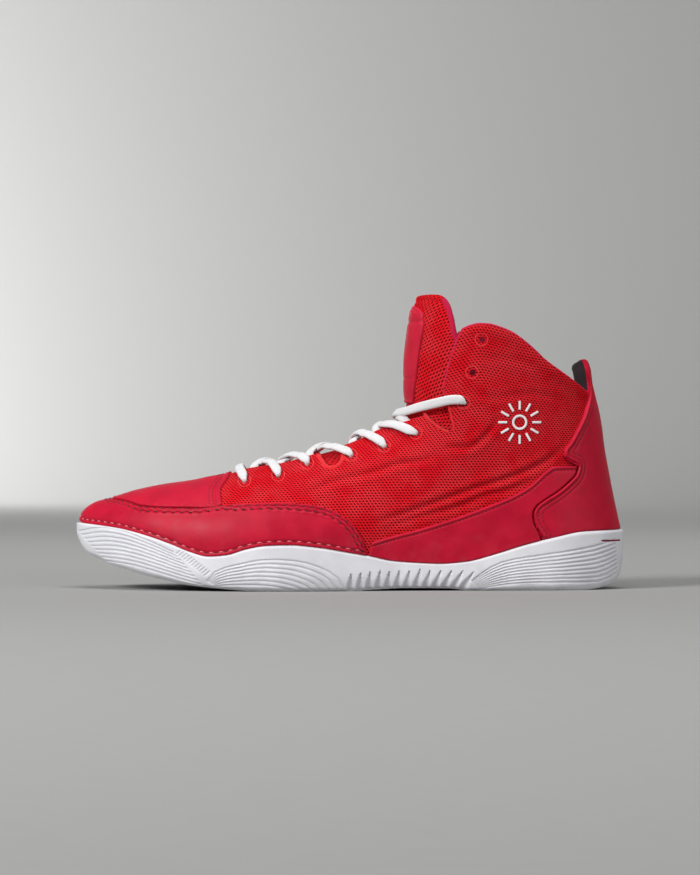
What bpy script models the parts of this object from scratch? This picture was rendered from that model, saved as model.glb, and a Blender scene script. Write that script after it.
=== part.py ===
"""A left high-top wrestling shoe: a knitted upper on a thin moulded cup sole.

X runs from toe to heel, +Y is the inner side of the foot, Z is up, and z = 0 is the floor.
Every surface above the sole follows one last: a half-width for each place in the side view.
"""

import math

import bmesh
import bpy
import numpy as np

# Driving sizes, in metres
LENGTH = 0.291
BALL_WIDTH = 0.096
COLLAR_HEIGHT = 0.140
UPPER_WALL = 0.0024
OVERLAY_THICKNESS = 0.0011
VAMP_THICKNESS = 0.0014
CUP_WALL = 0.0022
CUP_CLEARANCE = 0.0005
CLEARANCE = 0.0003
RIM_CLEARANCE = 0.0008
PANEL_GAP = 0.0005
OVERLAY_CLEARANCE = 0.0006
INSOLE_THICKNESS = 0.003
INSOLE_CLEARANCE = 0.0012
TONGUE_THICKNESS = 0.0024
TONGUE_CLEARANCE = 0.0012
LABEL_THICKNESS = 0.0008
LABEL_CLEARANCE = 0.0006
TAB_LINING_THICKNESS = 0.0009
LINING_SET_BACK = 0.0004
LACE_WIDTH = 0.0048
LACE_THICKNESS = 0.0016
LACE_CLEARANCE = 0.0007
EYELET_DIAMETER = 0.0038
SHAFT_ROUNDING = 0.048
LUG_GROOVE_WIDTH = 0.0024
LUG_GROOVE_DEPTH = 0.0012
SOLE_TUCK = 0.0032
RIB_WIDTH = 0.0013
RIB_DEPTH = 0.0008

# How far the last lies inside the outline of the sole
LAST_INSET = CUP_WALL + CUP_CLEARANCE

LATERAL = -1.0
MEDIAL = 1.0

# In every table, along is a share of LENGTH from the toe, and up is a share of COLLAR_HEIGHT.
# Sideways values are shares of BALL_WIDTH.
SOLE_PLAN = (
    # along, centre, half width before the ends are rounded
    (0.00, 0.116, 0.335),
    (0.05, 0.092, 0.360),
    (0.10, 0.068, 0.388),
    (0.15, 0.046, 0.418),
    (0.20, 0.030, 0.448),
    (0.25, 0.016, 0.479),
    (0.30, 0.005, 0.495),
    (0.35, -0.010, 0.490),
    (0.40, -0.031, 0.464),
    (0.45, -0.047, 0.427),
    (0.50, -0.055, 0.388),
    (0.55, -0.052, 0.359),
    (0.60, -0.044, 0.341),
    (0.70, -0.018, 0.336),
    (0.80, 0.008, 0.352),
    (0.85, 0.013, 0.352),
    (0.90, 0.016, 0.343),
    (0.95, 0.016, 0.322),
    (1.00, 0.016, 0.307),
)
TOE_ROUNDING = 0.20
HEEL_ROUNDING = 0.15

UNDERSIDE = (
    # along, up
    (0.000, 0.215),
    (0.004, 0.192),
    (0.014, 0.155),
    (0.028, 0.130),
    (0.046, 0.116),
    (0.068, 0.095),
    (0.101, 0.076),
    (0.136, 0.056),
    (0.171, 0.040),
    (0.206, 0.024),
    (0.244, 0.015),
    (0.275, 0.009),
    (0.330, 0.001),
    (0.360, 0.000),
    (0.500, 0.000),
    (0.550, 0.006),
    (0.600, 0.010),
    (0.680, 0.008),
    (0.720, 0.000),
    (0.920, 0.000),
    (0.946, 0.005),
    (0.967, 0.016),
    (0.986, 0.041),
    (0.995, 0.072),
    (1.000, 0.140),
)
RIM = (
    # along, up
    (0.000, 0.248),
    (0.081, 0.230),
    (0.135, 0.204),
    (0.183, 0.171),
    (0.216, 0.144),
    (0.249, 0.128),
    (0.282, 0.134),
    (0.315, 0.155),
    (0.354, 0.169),
    (0.393, 0.171),
    (0.446, 0.161),
    (0.499, 0.142),
    (0.532, 0.130),
    (0.578, 0.110),
    (0.618, 0.103),
    (0.664, 0.099),
    (0.711, 0.107),
    (0.763, 0.135),
    (0.816, 0.169),
    (0.870, 0.197),
    (0.924, 0.218),
    (1.000, 0.223),
)
CUP_FLOOR = (
    # along, up
    (0.000, 0.216),
    (0.009, 0.211),
    (0.026, 0.180),
    (0.046, 0.157),
    (0.101, 0.120),
    (0.171, 0.087),
    (0.244, 0.067),
    (0.330, 0.054),
    (0.500, 0.052),
    (0.640, 0.061),
    (0.775, 0.079),
    (1.000, 0.082),
)
# The last's top line: toe, vamp, instep, then the front of the ankle and shaft
RIDGE = (
    # along, up, how square the section below is
    (0.0090, 0.251, 2.30),
    (0.0100, 0.264, 2.30),
    (0.0175, 0.288, 2.30),
    (0.0300, 0.308, 2.30),
    (0.0430, 0.320, 2.30),
    (0.0595, 0.328, 2.30),
    (0.0770, 0.338, 2.30),
    (0.1120, 0.360, 2.25),
    (0.1640, 0.382, 2.15),
    (0.2170, 0.398, 2.00),
    (0.2610, 0.421, 1.85),
    (0.2860, 0.438, 1.80),
    (0.3145, 0.464, 1.80),
    (0.3870, 0.496, 1.85),
    (0.4380, 0.529, 1.95),
    (0.4880, 0.559, 2.10),
    (0.5330, 0.597, 2.15),
    (0.5620, 0.626, 2.15),
    (0.5810, 0.652, 2.10),
    (0.5910, 0.686, 2.05),
    (0.5925, 0.723, 2.00),
    (0.5910, 0.759, 2.00),
    (0.5910, 0.839, 2.00),
    (0.5970, 0.975, 2.00),
    (0.6055, 1.075, 2.00),
    (0.6085, 1.096, 2.00),
    (0.6110, 1.115, 2.00),
    (0.6140, 1.135, 2.00),
)
ANKLE_CORNER = 0.581
THROAT_START = 0.286
WIDEST = (
    # along, up
    (0.000, 0.236),
    (0.081, 0.220),
    (0.135, 0.205),
    (0.200, 0.180),
    (0.250, 0.175),
    (0.300, 0.180),
    (0.400, 0.190),
    (0.500, 0.185),
    (0.600, 0.170),
    (1.000, 0.170),
)
SHAFT_HALF_WIDTH = (
    # up, half width
    (0.00, 0.330),
    (0.40, 0.335),
    (0.60, 0.349),
    (0.82, 0.370),
    (1.00, 0.385),
    (1.15, 0.385),
)
HEEL_BACK = (
    # up, along, rounding of the back as a share of LENGTH
    (0.000, 0.9905, 0.150),
    (0.220, 0.9900, 0.150),
    (0.260, 0.9860, 0.152),
    (0.330, 0.9785, 0.158),
    (0.408, 0.9710, 0.165),
    (0.515, 0.9610, 0.178),
    (0.611, 0.9550, 0.185),
    (0.671, 0.9500, 0.185),
    (0.715, 0.9450, 0.183),
    (0.742, 0.9420, 0.180),
    (0.778, 0.9380, 0.178),
    (0.828, 0.9345, 0.175),
    (0.860, 0.9290, 0.172),
    (0.900, 0.9220, 0.170),
    (1.150, 0.9000, 0.165),
)
# Where the section of the foot turns into the section of the shaft
BLEND_UP = (0.18, 0.60)
BLEND_ALONG = (0.29, 0.57)
RADIAL_ALONG = (0.38, 0.55)

THROAT_EDGE = (
    # along, up: from the vamp up to the top of the ankle flap
    (0.286, 0.438),
    (0.300, 0.4465),
    (0.311, 0.4555),
    (0.325, 0.461),
    (0.387, 0.482),
    (0.429, 0.508),
    (0.488, 0.544),
    (0.533, 0.582),
    (0.547, 0.599),
    (0.561, 0.611),
    (0.588, 0.630),
    (0.602, 0.636),
    (0.633, 0.657),
    (0.655, 0.693),
    (0.669, 0.732),
    (0.667, 0.756),
    (0.670, 0.794),
    (0.677, 0.849),
    (0.686, 0.911),
    (0.692, 0.942),
    (0.701, 0.979),
)
COLLAR = (
    # along, up: from the flap back to the heel
    (0.701, 0.979),
    (0.716, 0.992),
    (0.733, 0.999),
    (0.751, 0.997),
    (0.769, 0.987),
    (0.792, 0.968),
    (0.810, 0.944),
    (0.834, 0.904),
    (0.853, 0.867),
    (0.877, 0.831),
    (0.899, 0.800),
    (0.915, 0.776),
    (0.932, 0.751),
    (0.942, 0.742),
)
ANKLE_NOTCH = (
    # along, up
    (0.6345, 0.668),
    (0.6420, 0.648),
    (0.6560, 0.622),
    (0.6700, 0.603),
    (0.6840, 0.592),
    (0.6850, 0.610),
    (0.6820, 0.640),
    (0.6760, 0.690),
    (0.6680, 0.738),
    (0.6400, 0.740),
)
FLEX_NOTCH = (
    # along, up
    (0.4415, 0.530),
    (0.4535, 0.489),
    (0.4590, 0.475),
    (0.4655, 0.467),
    (0.4710, 0.468),
    (0.4765, 0.474),
    (0.4830, 0.490),
    (0.4890, 0.560),
)
VAMP_SEAM = (
    # along, up: where the vamp ends over the rand
    (0.067, 0.3320),
    (0.076, 0.3330),
    (0.099, 0.3270),
    (0.128, 0.3120),
    (0.171, 0.3070),
    (0.223, 0.3060),
    (0.262, 0.3150),
    (0.272, 0.3220),
)
VAMP_REAR = (
    # along, up: from the seam up to the throat
    (0.272, 0.3220),
    (0.270, 0.343),
    (0.269, 0.362),
    (0.269, 0.376),
    (0.272, 0.390),
    (0.279, 0.411),
    (0.284, 0.4365),
)
RAND_TOP = (
    # along, up: from the toe to the waist
    (0.0640, 0.3300),
    (0.0740, 0.3285),
    (0.0990, 0.3225),
    (0.1280, 0.3075),
    (0.1710, 0.3025),
    (0.2230, 0.3015),
    (0.2740, 0.3130),
    (0.3250, 0.3210),
    (0.3770, 0.3240),
    (0.4280, 0.3180),
    (0.4620, 0.3040),
    (0.4890, 0.2750),
    (0.5100, 0.2340),
    (0.5190, 0.2050),
    (0.5270, 0.1700),
)
RAND_REAR = 0.530
QUARTER_TOP = (
    # along, up: from the waist to the counter
    (0.540, 0.182),
    (0.569, 0.200),
    (0.620, 0.227),
    (0.689, 0.271),
    (0.750, 0.317),
    (0.791, 0.352),
    (0.826, 0.395),
    (0.852, 0.445),
    (0.867, 0.464),
    (0.9095, 0.466),
)
QUARTER_FRONT = 0.534
COUNTER_FRONT = (
    # along, up: from the rim to the top of the pull tab
    (0.8460, 0.205),
    (0.8320, 0.260),
    (0.8310, 0.286),
    (0.8360, 0.312),
    (0.8510, 0.338),
    (0.8740, 0.369),
    (0.8950, 0.406),
    (0.9080, 0.437),
    (0.9110, 0.466),
    (0.8980, 0.484),
    (0.8860, 0.505),
    (0.8860, 0.521),
    (0.8960, 0.552),
    (0.9090, 0.600),
    (0.9170, 0.631),
    (0.9250, 0.673),
    (0.9325, 0.742),
    (0.9275, 0.830),
    (0.9215, 0.866),
)
COUNTER_TOP = (
    # along, up
    (0.9215, 0.866),
    (0.9285, 0.862),
)
TONGUE_START = 0.261
TONGUE_TOP = (
    # along, up: from the front round to the free edge
    (0.6110, 1.1150),
    (0.6180, 1.1175),
    (0.6320, 1.1180),
    (0.6500, 1.1140),
    (0.6620, 1.1040),
    (0.6690, 1.0900),
)
TONGUE_EDGE = (
    # along, up: the free edge under the upper, from the vamp to the top
    (0.261, 0.398),
    (0.300, 0.416),
    (0.350, 0.428),
    (0.400, 0.438),
    (0.450, 0.452),
    (0.520, 0.486),
    (0.580, 0.518),
    (0.640, 0.545),
    (0.685, 0.582),
    (0.708, 0.650),
    (0.712, 0.740),
    (0.708, 0.830),
    (0.698, 0.910),
    (0.687, 0.968),
    (0.682, 1.018),
    (0.675, 1.066),
    (0.669, 1.090),
)
LABEL_EDGE = (
    # along, up: the free edge of the label, from the bottom to the top
    (0.6070, 0.700),
    (0.6100, 0.745),
    (0.6140, 0.810),
    (0.6190, 0.897),
    (0.6265, 0.998),
    (0.6255, 1.036),
    (0.6180, 1.060),
)
LABEL_RIDGE = (0.700, 1.072)
TAB_LINING_UP = (0.757, 0.852)

EYELETS = (
    # along, up
    (0.3110, 0.411),
    (0.3720, 0.431),
    (0.4240, 0.475),
    (0.5030, 0.505),
    (0.5630, 0.539),
    (0.6200, 0.588),
    (0.7055, 0.701),
    (0.7205, 0.814),
    (0.7370, 0.936),
)
LACED_ROWS = 7
# Where each crossing passes the near edge of the throat, as a share of the way to the row below
LACE_OVER_EDGE = (0.0, 0.45, 0.55, 0.50, 0.65)
LACE_END = (0.0, 0.74, 0.96, 0.96, 0.96)
# How far a crossing reaches past the near edge and short of the far edge, in half-widths of the throat
NEAR_REACH = 1.05
FAR_REACH = 0.57
INSTEP_LACE = (
    # along, up, 1 on its own side and -1 on the other, 1 over the upper and 0 sunk in the throat
    (0.6200, 0.578, 1, 1.1),
    (0.6110, 0.594, 1, 1.2),
    (0.5980, 0.604, 1, 1.3),
    (0.5840, 0.610, 1, 1.3),
    (0.5700, 0.614, 1, 1.1),
    (0.5600, 0.617, 1, 0.7),
    (0.5530, 0.617, 0, 0.35),
    (0.5480, 0.606, -1, 0.1),
)
ANKLE_LACE = (
    # the same columns
    (0.7055, 0.690, 1, 1.0),
    (0.7000, 0.712, 1, 1.0),
    (0.6820, 0.712, 1, 1.0),
    (0.6580, 0.700, 1, 0.9),
    (0.6240, 0.684, 1, 0.5),
    (0.6020, 0.671, 1, 0.2),
    (0.5850, 0.660, 0, 0.2),
    (0.5920, 0.652, -1, 0.1),
)

FOREFOOT_GROOVES = (0.38, 0.43, 0.48)
HEEL_GROOVES = (0.77, 0.83, 0.89)

SIDE_RIBS = (
    # along and up of the start, the middle and the end
    (0.205, 0.035, 0.295, 0.100, 0.395, 0.045),
    (0.222, 0.028, 0.297, 0.073, 0.380, 0.032),
    (0.030, 0.165, 0.130, 0.170, 0.175, 0.115),
    (0.055, 0.140, 0.130, 0.135, 0.185, 0.085),
    (0.720, 0.020, 0.850, 0.100, 0.955, 0.135),
    (0.750, 0.018, 0.860, 0.068, 0.960, 0.090),
)

# How finely the forms are divided
ACROSS = 23
TOE_SHARES = (0.0, 0.12, 0.28, 0.46, 0.66, 0.84, 1.0)
THROAT_ROW = len(TOE_SHARES) - 1
THROAT_SHARES = (0.0, 0.05, 0.14, 0.29, 0.45, 0.57, 0.67, 0.78, 1.0)
UPWARD = THROAT_ROW + len(THROAT_SHARES)
SOLE_STATIONS = 35
RIB_STEPS = 4
INSOLE_STATIONS = 18
VAMP_COLUMNS = 11
RAND_COLUMNS = 17
TOE_CROWDING = 1.3

MATERIALS = {
    # name: base colour, roughness
    "mesh": ((0.62, 0.018, 0.022), 0.8),
    "smooth": ((0.42, 0.02, 0.045), 0.5),
    "rubber": ((0.75, 0.75, 0.78), 0.6),
    "lace": ((0.85, 0.85, 0.87), 0.8),
    "lining": ((0.05, 0.035, 0.04), 0.8),
    "foam": ((0.30, 0.02, 0.04), 0.9),
}


def smooth_values(places, values, at):
    """Values between rows by a monotone cubic, so that level stretches stay level."""
    steps = np.diff(places)
    slopes = np.diff(values) / steps
    inner = np.zeros(len(places))
    inner[0], inner[-1] = slopes[0], slopes[-1]
    for i in range(1, len(places) - 1):
        before, after = slopes[i - 1], slopes[i]
        if before * after > 0:
            first = 2 * steps[i] + steps[i - 1]
            second = steps[i] + 2 * steps[i - 1]
            inner[i] = (first + second) / (first / before + second / after)
    at = np.clip(at, places[0], places[-1])
    row = np.clip(np.searchsorted(places, at, side="right") - 1, 0, len(steps) - 1)
    step = steps[row]
    t = (at - places[row]) / step
    return (
        values[row] * (2 * t**3 - 3 * t**2 + 1)
        + inner[row] * step * (t**3 - 2 * t**2 + t)
        + values[row + 1] * (3 * t**2 - 2 * t**3)
        + inner[row + 1] * step * (t**3 - t**2)
    )


def from_table(table, at, column=1):
    rows = np.array(table)
    return smooth_values(rows[:, 0], rows[:, column], np.asarray(at, float))


def ease(value, low, high):
    """0 at low, 1 at high, level at both ends."""
    t = np.clip((value - low) / (high - low), 0.0, 1.0)
    return t * t * (3 - 2 * t)


def signed_power(value, power):
    return np.sign(value) * np.abs(value) ** power


def side_view(points):
    """Shares of length and height as metres in the side view."""
    points = np.array(points, float)[:, :2]
    return np.column_stack(((points[:, 0] - 0.5) * LENGTH, points[:, 1] * COLLAR_HEIGHT))


def along_of(x):
    return np.asarray(x) / LENGTH + 0.5


def path_through(points, spans=8):
    """A smooth dense line through the points."""
    points = np.asarray(points, float)
    lengths = np.linalg.norm(np.diff(points, axis=0), axis=1)
    travelled = np.concatenate(([0.0], np.cumsum(lengths)))
    at = np.concatenate([
        np.linspace(travelled[i], travelled[i + 1], spans, endpoint=False)
        for i in range(len(lengths))
    ] + [[travelled[-1]]])
    return np.column_stack([smooth_values(travelled, points[:, k], at) for k in range(points.shape[1])])


def spread(path, shares):
    """Points of a path at shares of its length."""
    lengths = np.linalg.norm(np.diff(path, axis=0), axis=1)
    travelled = np.concatenate(([0.0], np.cumsum(lengths)))
    at = np.asarray(shares) * travelled[-1]
    return np.column_stack([np.interp(at, travelled, path[:, k]) for k in range(path.shape[1])])


def outline(x, inset=0.0):
    """Centre and squared half-width of the sole's outline moved in by inset, open at the heel."""
    share = (x + LENGTH / 2 - inset) / (LENGTH - 2 * inset)
    centre = from_table(SOLE_PLAN, share) * BALL_WIDTH
    half = from_table(SOLE_PLAN, share, 2) * BALL_WIDTH
    rounded = half**2 * (1 - (1 - np.minimum(share / TOE_ROUNDING, 1.0)) ** 2)
    width = np.sqrt(np.maximum(rounded, 0.0))
    shrink = 1 - inset / np.maximum(width, BALL_WIDTH / 8)
    return centre, rounded * shrink**2


def sole_outline(x):
    """Centre and half-width of the sole at its widest level."""
    centre, squared = outline(x)
    heel = 1 - (1 - np.minimum((LENGTH / 2 - x) / (HEEL_ROUNDING * LENGTH), 1.0)) ** 2
    return float(centre), math.sqrt(max(float(squared * heel), 0.0))


def underside(x):
    return from_table(UNDERSIDE, along_of(x)) * COLLAR_HEIGHT


def rim(x):
    return from_table(RIM, along_of(x)) * COLLAR_HEIGHT


def cup_floor(x):
    return from_table(CUP_FLOOR, along_of(x)) * COLLAR_HEIGHT


def heel_back(z):
    return (from_table(HEEL_BACK, z / COLLAR_HEIGHT) - 0.5) * LENGTH


RIDGE_PATH = path_through(
    np.column_stack((side_view(RIDGE), np.array(RIDGE)[:, 2])), spans=6
)
RIDGE_LINE = RIDGE_PATH[:, :2]


def ridge_distance(x, z):
    """Signed distance inside the ridge line, and how square the nearest section is."""
    start, end = RIDGE_LINE[:-1], RIDGE_LINE[1:]
    run = end - start
    place = np.stack((x, z), axis=-1)[..., None, :] - start
    share = np.clip((place * run).sum(-1) / (run**2).sum(-1), 0.0, 1.0)
    away = place - share[..., None] * run
    distance = np.sqrt((away**2).sum(-1))
    nearest = distance.argmin(-1)
    pick = nearest[..., None]
    turn = run[..., 0] * place[..., 1] - run[..., 1] * place[..., 0]
    inside = np.take_along_axis(turn, pick, -1)[..., 0] < 0
    reach = np.take_along_axis(distance, pick, -1)[..., 0]
    at = np.take_along_axis(share, pick, -1)[..., 0]
    square = RIDGE_PATH[nearest, 2] * (1 - at) + RIDGE_PATH[nearest + 1, 2] * at
    return np.where(inside, reach, -reach), square


def ridge_height(x):
    """Height of the ridge over the foot, up to the corner at the ankle."""
    corner = int(np.argmax(RIDGE_LINE[:, 0] >= (ANKLE_CORNER - 0.5) * LENGTH))
    return np.interp(x, RIDGE_LINE[: corner + 1, 0], RIDGE_LINE[: corner + 1, 1])


def last_section(x, z):
    """Centre and squared half-width of the last, where the side view is at x, z."""
    x, z = np.broadcast_arrays(np.asarray(x, float), np.asarray(z, float))
    share, up = along_of(x), z / COLLAR_HEIGHT
    foot_centre, foot_squared = outline(x, LAST_INSET)
    to_shaft = ease(up, *BLEND_UP) * ease(share, *BLEND_ALONG)
    shaft_squared = (from_table(SHAFT_HALF_WIDTH, up) * BALL_WIDTH) ** 2
    squared = foot_squared * (1 - to_shaft) + shaft_squared * to_shaft
    centre = foot_centre * (1 - to_shaft)
    back_rounding = from_table(HEEL_BACK, up, 2) * LENGTH
    back = 1 - (1 - np.minimum((heel_back(z) - x) / back_rounding, 1.0)) ** 2
    # Down from the ridge over the foot, and in from the ridge round the ankle and shaft
    radial, square = ridge_distance(x, z)
    widest = from_table(WIDEST, share) * COLLAR_HEIGHT
    top = ridge_height(x)
    falling = np.maximum(top - widest, 1e-4)
    turned = ease(share, *RADIAL_ALONG)
    depth = (top - z) / falling * (1 - turned) + radial / SHAFT_ROUNDING * turned
    short = np.maximum(1 - depth, 0.0)
    crown = signed_power(1 - short**square, 2 / square)
    return centre, squared * back * crown


def last_point(x, z, side, offset=0.0, on_ridge=None):
    """A point of the last's surface, moved out by offset along its normal."""
    x, z = np.broadcast_arrays(np.asarray(x, float), np.asarray(z, float))
    step = LENGTH / 1500
    centre, squared = last_section(x, z)
    centre_ahead, squared_ahead = last_section(x + step, z)
    centre_behind, squared_behind = last_section(x - step, z)
    centre_above, squared_above = last_section(x, z + step)
    centre_below, squared_below = last_section(x, z - step)
    half = np.sqrt(np.maximum(squared, 0.0))
    if on_ridge is not None:
        half = np.where(on_ridge, 0.0, half)
    y = centre + side * half
    along = (squared_ahead - squared_behind) + 2 * side * half * (centre_ahead - centre_behind)
    upward = (squared_above - squared_below) + 2 * side * half * (centre_above - centre_below)
    normal = np.stack((-along / (2 * step), 2 * side * half, -upward / (2 * step)), axis=-1)
    normal /= np.maximum(np.linalg.norm(normal, axis=-1, keepdims=True), 1e-12)
    return np.stack((x, y, z), axis=-1) + offset * normal


def coons(bottom, right, top, left, across, upward):
    """Grid of side-view points inside four edges; across and upward are shares of the edges."""
    low, high = spread(bottom, across), spread(top, across)
    near, far = spread(left, upward), spread(right, upward)
    u = np.asarray(across)[:, None, None]
    v = np.asarray(upward)[None, :, None]
    ruled = (1 - v) * low[:, None] + v * high[:, None] + (1 - u) * near[None] + u * far[None]
    corners = (
        (1 - u) * (1 - v) * low[0] + u * (1 - v) * low[-1]
        + (1 - u) * v * high[0] + u * v * high[-1]
    )
    return ruled - corners


def from_ridge(count):
    """Shares that crowd towards the start, where a surface turns over the ridge."""
    return np.linspace(0.0, 1.0, count) ** 2


def quarter_round(count):
    """Shares that follow a quarter circle away from its crown."""
    return 1 - np.cos(np.linspace(0.0, math.pi / 2, count))


def shares_of(points):
    """Where the points of a line lie, as shares of its length."""
    travelled = np.concatenate(([0.0], np.cumsum(np.linalg.norm(np.diff(points, axis=0), axis=1))))
    return travelled / travelled[-1]


def both_ends(count):
    return (1 - np.cos(np.linspace(0.0, math.pi, count))) / 2


def material_of(name):
    material = bpy.data.materials.get(name) or bpy.data.materials.new(name)
    material.use_nodes = True
    colour, roughness = MATERIALS[name]
    shader = material.node_tree.nodes["Principled BSDF"]
    shader.inputs["Base Color"].default_value = (*colour, 1.0)
    shader.inputs["Roughness"].default_value = roughness
    return material


def add_object(name, points, faces, material, hidden=False):
    """A closed mesh object; doubled points are joined and its faces turned outwards."""
    mesh = bpy.data.meshes.new(name)
    build = bmesh.new()
    vertices = [build.verts.new(point) for point in points]
    build.verts.ensure_lookup_table()
    for face in faces:
        build.faces.new([vertices[i] for i in face])
    bmesh.ops.remove_doubles(build, verts=build.verts, dist=2e-6)
    bmesh.ops.dissolve_degenerate(build, edges=build.edges, dist=2e-6)
    bmesh.ops.triangulate(build, faces=build.faces)
    bmesh.ops.recalc_face_normals(build, faces=build.faces)
    if build.calc_volume(signed=True) < 0:
        bmesh.ops.reverse_faces(build, faces=build.faces)
    build.to_mesh(mesh)
    build.free()
    mesh.shade_smooth()
    mesh.set_sharp_from_angle(angle=math.radians(35))
    obj = bpy.data.objects.new(name, mesh)
    bpy.context.scene.collection.objects.link(obj)
    if hidden:
        obj.hide_render = True
        obj.display_type = "WIRE"
    else:
        mesh.materials.append(material_of(material))
    return obj


def wall_faces(columns, rows, joined_rows=0):
    """Faces of a wall between an outer and an inner grid.

    Its first and last columns meet on the ridge for joined_rows rows, and are free edges above.
    """
    total = columns * rows

    def outer(i, j):
        return i * rows + j

    def inner(i, j):
        return total + i * rows + j

    faces = []
    for i in range(columns - 1):
        for j in range(rows - 1):
            faces.append((outer(i, j), outer(i + 1, j), outer(i + 1, j + 1), outer(i, j + 1)))
            faces.append((inner(i, j), inner(i, j + 1), inner(i + 1, j + 1), inner(i + 1, j)))
    for i in range(columns - 1):
        for j in (0, rows - 1):
            faces.append((outer(i, j), outer(i + 1, j), inner(i + 1, j), inner(i, j)))
    for j in range(joined_rows, rows - 1):
        for i in (0, columns - 1):
            faces.append((outer(i, j), outer(i, j + 1), inner(i, j + 1), inner(i, j)))
    return faces


def wall_object(name, outer, inner, material, joined_rows=0):
    columns, rows = outer.shape[:2]
    points = np.concatenate((outer.reshape(-1, 3), inner.reshape(-1, 3)))
    return add_object(name, points, wall_faces(columns, rows, joined_rows), material)


def wrapped(grid, low, high, meet):
    """Outer and inner points of a piece that goes over the ridge or the heel, both sides.

    meet is "first" or "last": the column of the grid that lies on the middle line.
    """
    columns, rows = grid.shape[:2]
    on_ridge = np.zeros((columns, rows), bool)
    on_ridge[0 if meet == "first" else -1] = True
    layers = []
    for offset in (high, low):
        sides = [
            last_point(grid[..., 0], grid[..., 1], side, offset, on_ridge)
            for side in (LATERAL, MEDIAL)
        ]
        if meet == "first":
            layers.append(np.concatenate((sides[0][::-1], sides[1][1:])))
        else:
            layers.append(np.concatenate((sides[0], sides[1][::-1][1:])))
    return layers


def prism(name, points):
    """A hidden cutter: a side-view outline drawn right through the shoe."""
    flat = side_view(points)
    reach = BALL_WIDTH
    count = len(flat)
    ends = [(x, side * reach, z) for side in (LATERAL, MEDIAL) for x, z in flat]
    faces = [tuple(range(count)), tuple(range(2 * count - 1, count - 1, -1))]
    faces += [(i, (i + 1) % count, count + (i + 1) % count, count + i) for i in range(count)]
    return add_object(name, ends, faces, None, hidden=True)


def cut(obj, cutter, operation="DIFFERENCE", solver="EXACT"):
    modifier = obj.modifiers.new(cutter.name, "BOOLEAN")
    modifier.operation = operation
    modifier.solver = solver
    modifier.object = cutter


def last_ring(share, height, lift, offset):
    """The last's lateral and medial points at a share of its length, on a height over x."""
    toe_x = LAST_INSET - LENGTH / 2
    back = float(heel_back(height(LENGTH / 2)))
    z = float(height(toe_x + share * (back - toe_x))) + lift
    x = toe_x + share * (float(heel_back(z)) - toe_x)
    at_end = share <= 0.0 or share >= 1.0
    return [last_point(x, z, side, offset, at_end) for side in (LATERAL, MEDIAL)]


def make_outsole():
    """A cup: underside, bulged side, rim, inner wall and floor, one section at each station."""
    sections = []
    for share in both_ends(SOLE_STATIONS):
        x = (share - 0.5) * LENGTH
        centre, half = sole_outline(x)
        low, high = float(underside(x)), float(rim(x))
        rims = last_ring(share, rim, 0.0, CUP_CLEARANCE)
        floors = last_ring(share, cup_floor, 0.0, CUP_CLEARANCE)
        tuck = min(SOLE_TUCK, half * 0.35)
        levels = (
            # share of the tuck that the wall is moved in, share of its height
            (1.00, 0.00),
            (0.30, 0.10),
            (0.00, 0.40),
            (0.22, 1.00),
        )
        ring = [(x, centre, low)]
        for side, rim_point, floor_point in zip((LATERAL, MEDIAL), rims, floors):
            wall = [
                (x, centre + side * (half - inward * tuck), low + up * (high - low))
                for inward, up in levels
            ]
            wall += [tuple(rim_point), tuple(floor_point)]
            ring += wall if side == LATERAL else wall[::-1]
            if side == LATERAL:
                ring.append(tuple((floors[0] + floors[1]) / 2))
        sections.append(ring)
    count = len(sections[0])
    points = [point for ring in sections for point in ring]
    faces = []
    for i in range(len(sections) - 1):
        for j in range(count):
            following = (j + 1) % count
            faces.append((
                i * count + j, i * count + following,
                (i + 1) * count + following, (i + 1) * count + j,
            ))
    sole = add_object("outsole", points, faces, "rubber")
    for i, along in enumerate(FOREFOOT_GROOVES + HEEL_GROOVES):
        cut(sole, groove_cutter(f"lug_groove_{i + 1}", along))
    for i, rib in enumerate(SIDE_RIBS):
        for side, word in ((LATERAL, "lateral"), (MEDIAL, "medial")):
            cut(sole, rib_cutter(f"rib_{i + 1}_{word}", rib, side))
    return sole


def groove_cutter(name, along):
    x = (along - 0.5) * LENGTH
    half = LUG_GROOVE_WIDTH / 2
    shape = [(x - half, -LUG_GROOVE_DEPTH), (x + half, -LUG_GROOVE_DEPTH),
             (x + half * 0.7, LUG_GROOVE_DEPTH), (x - half * 0.7, LUG_GROOVE_DEPTH)]
    points = [(px, side * BALL_WIDTH, pz) for side in (LATERAL, MEDIAL) for px, pz in shape]
    faces = [(0, 1, 2, 3), (7, 6, 5, 4)] + [(i, (i + 1) % 4, 4 + (i + 1) % 4, 4 + i) for i in range(4)]
    return add_object(name, points, faces, None, hidden=True)


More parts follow.
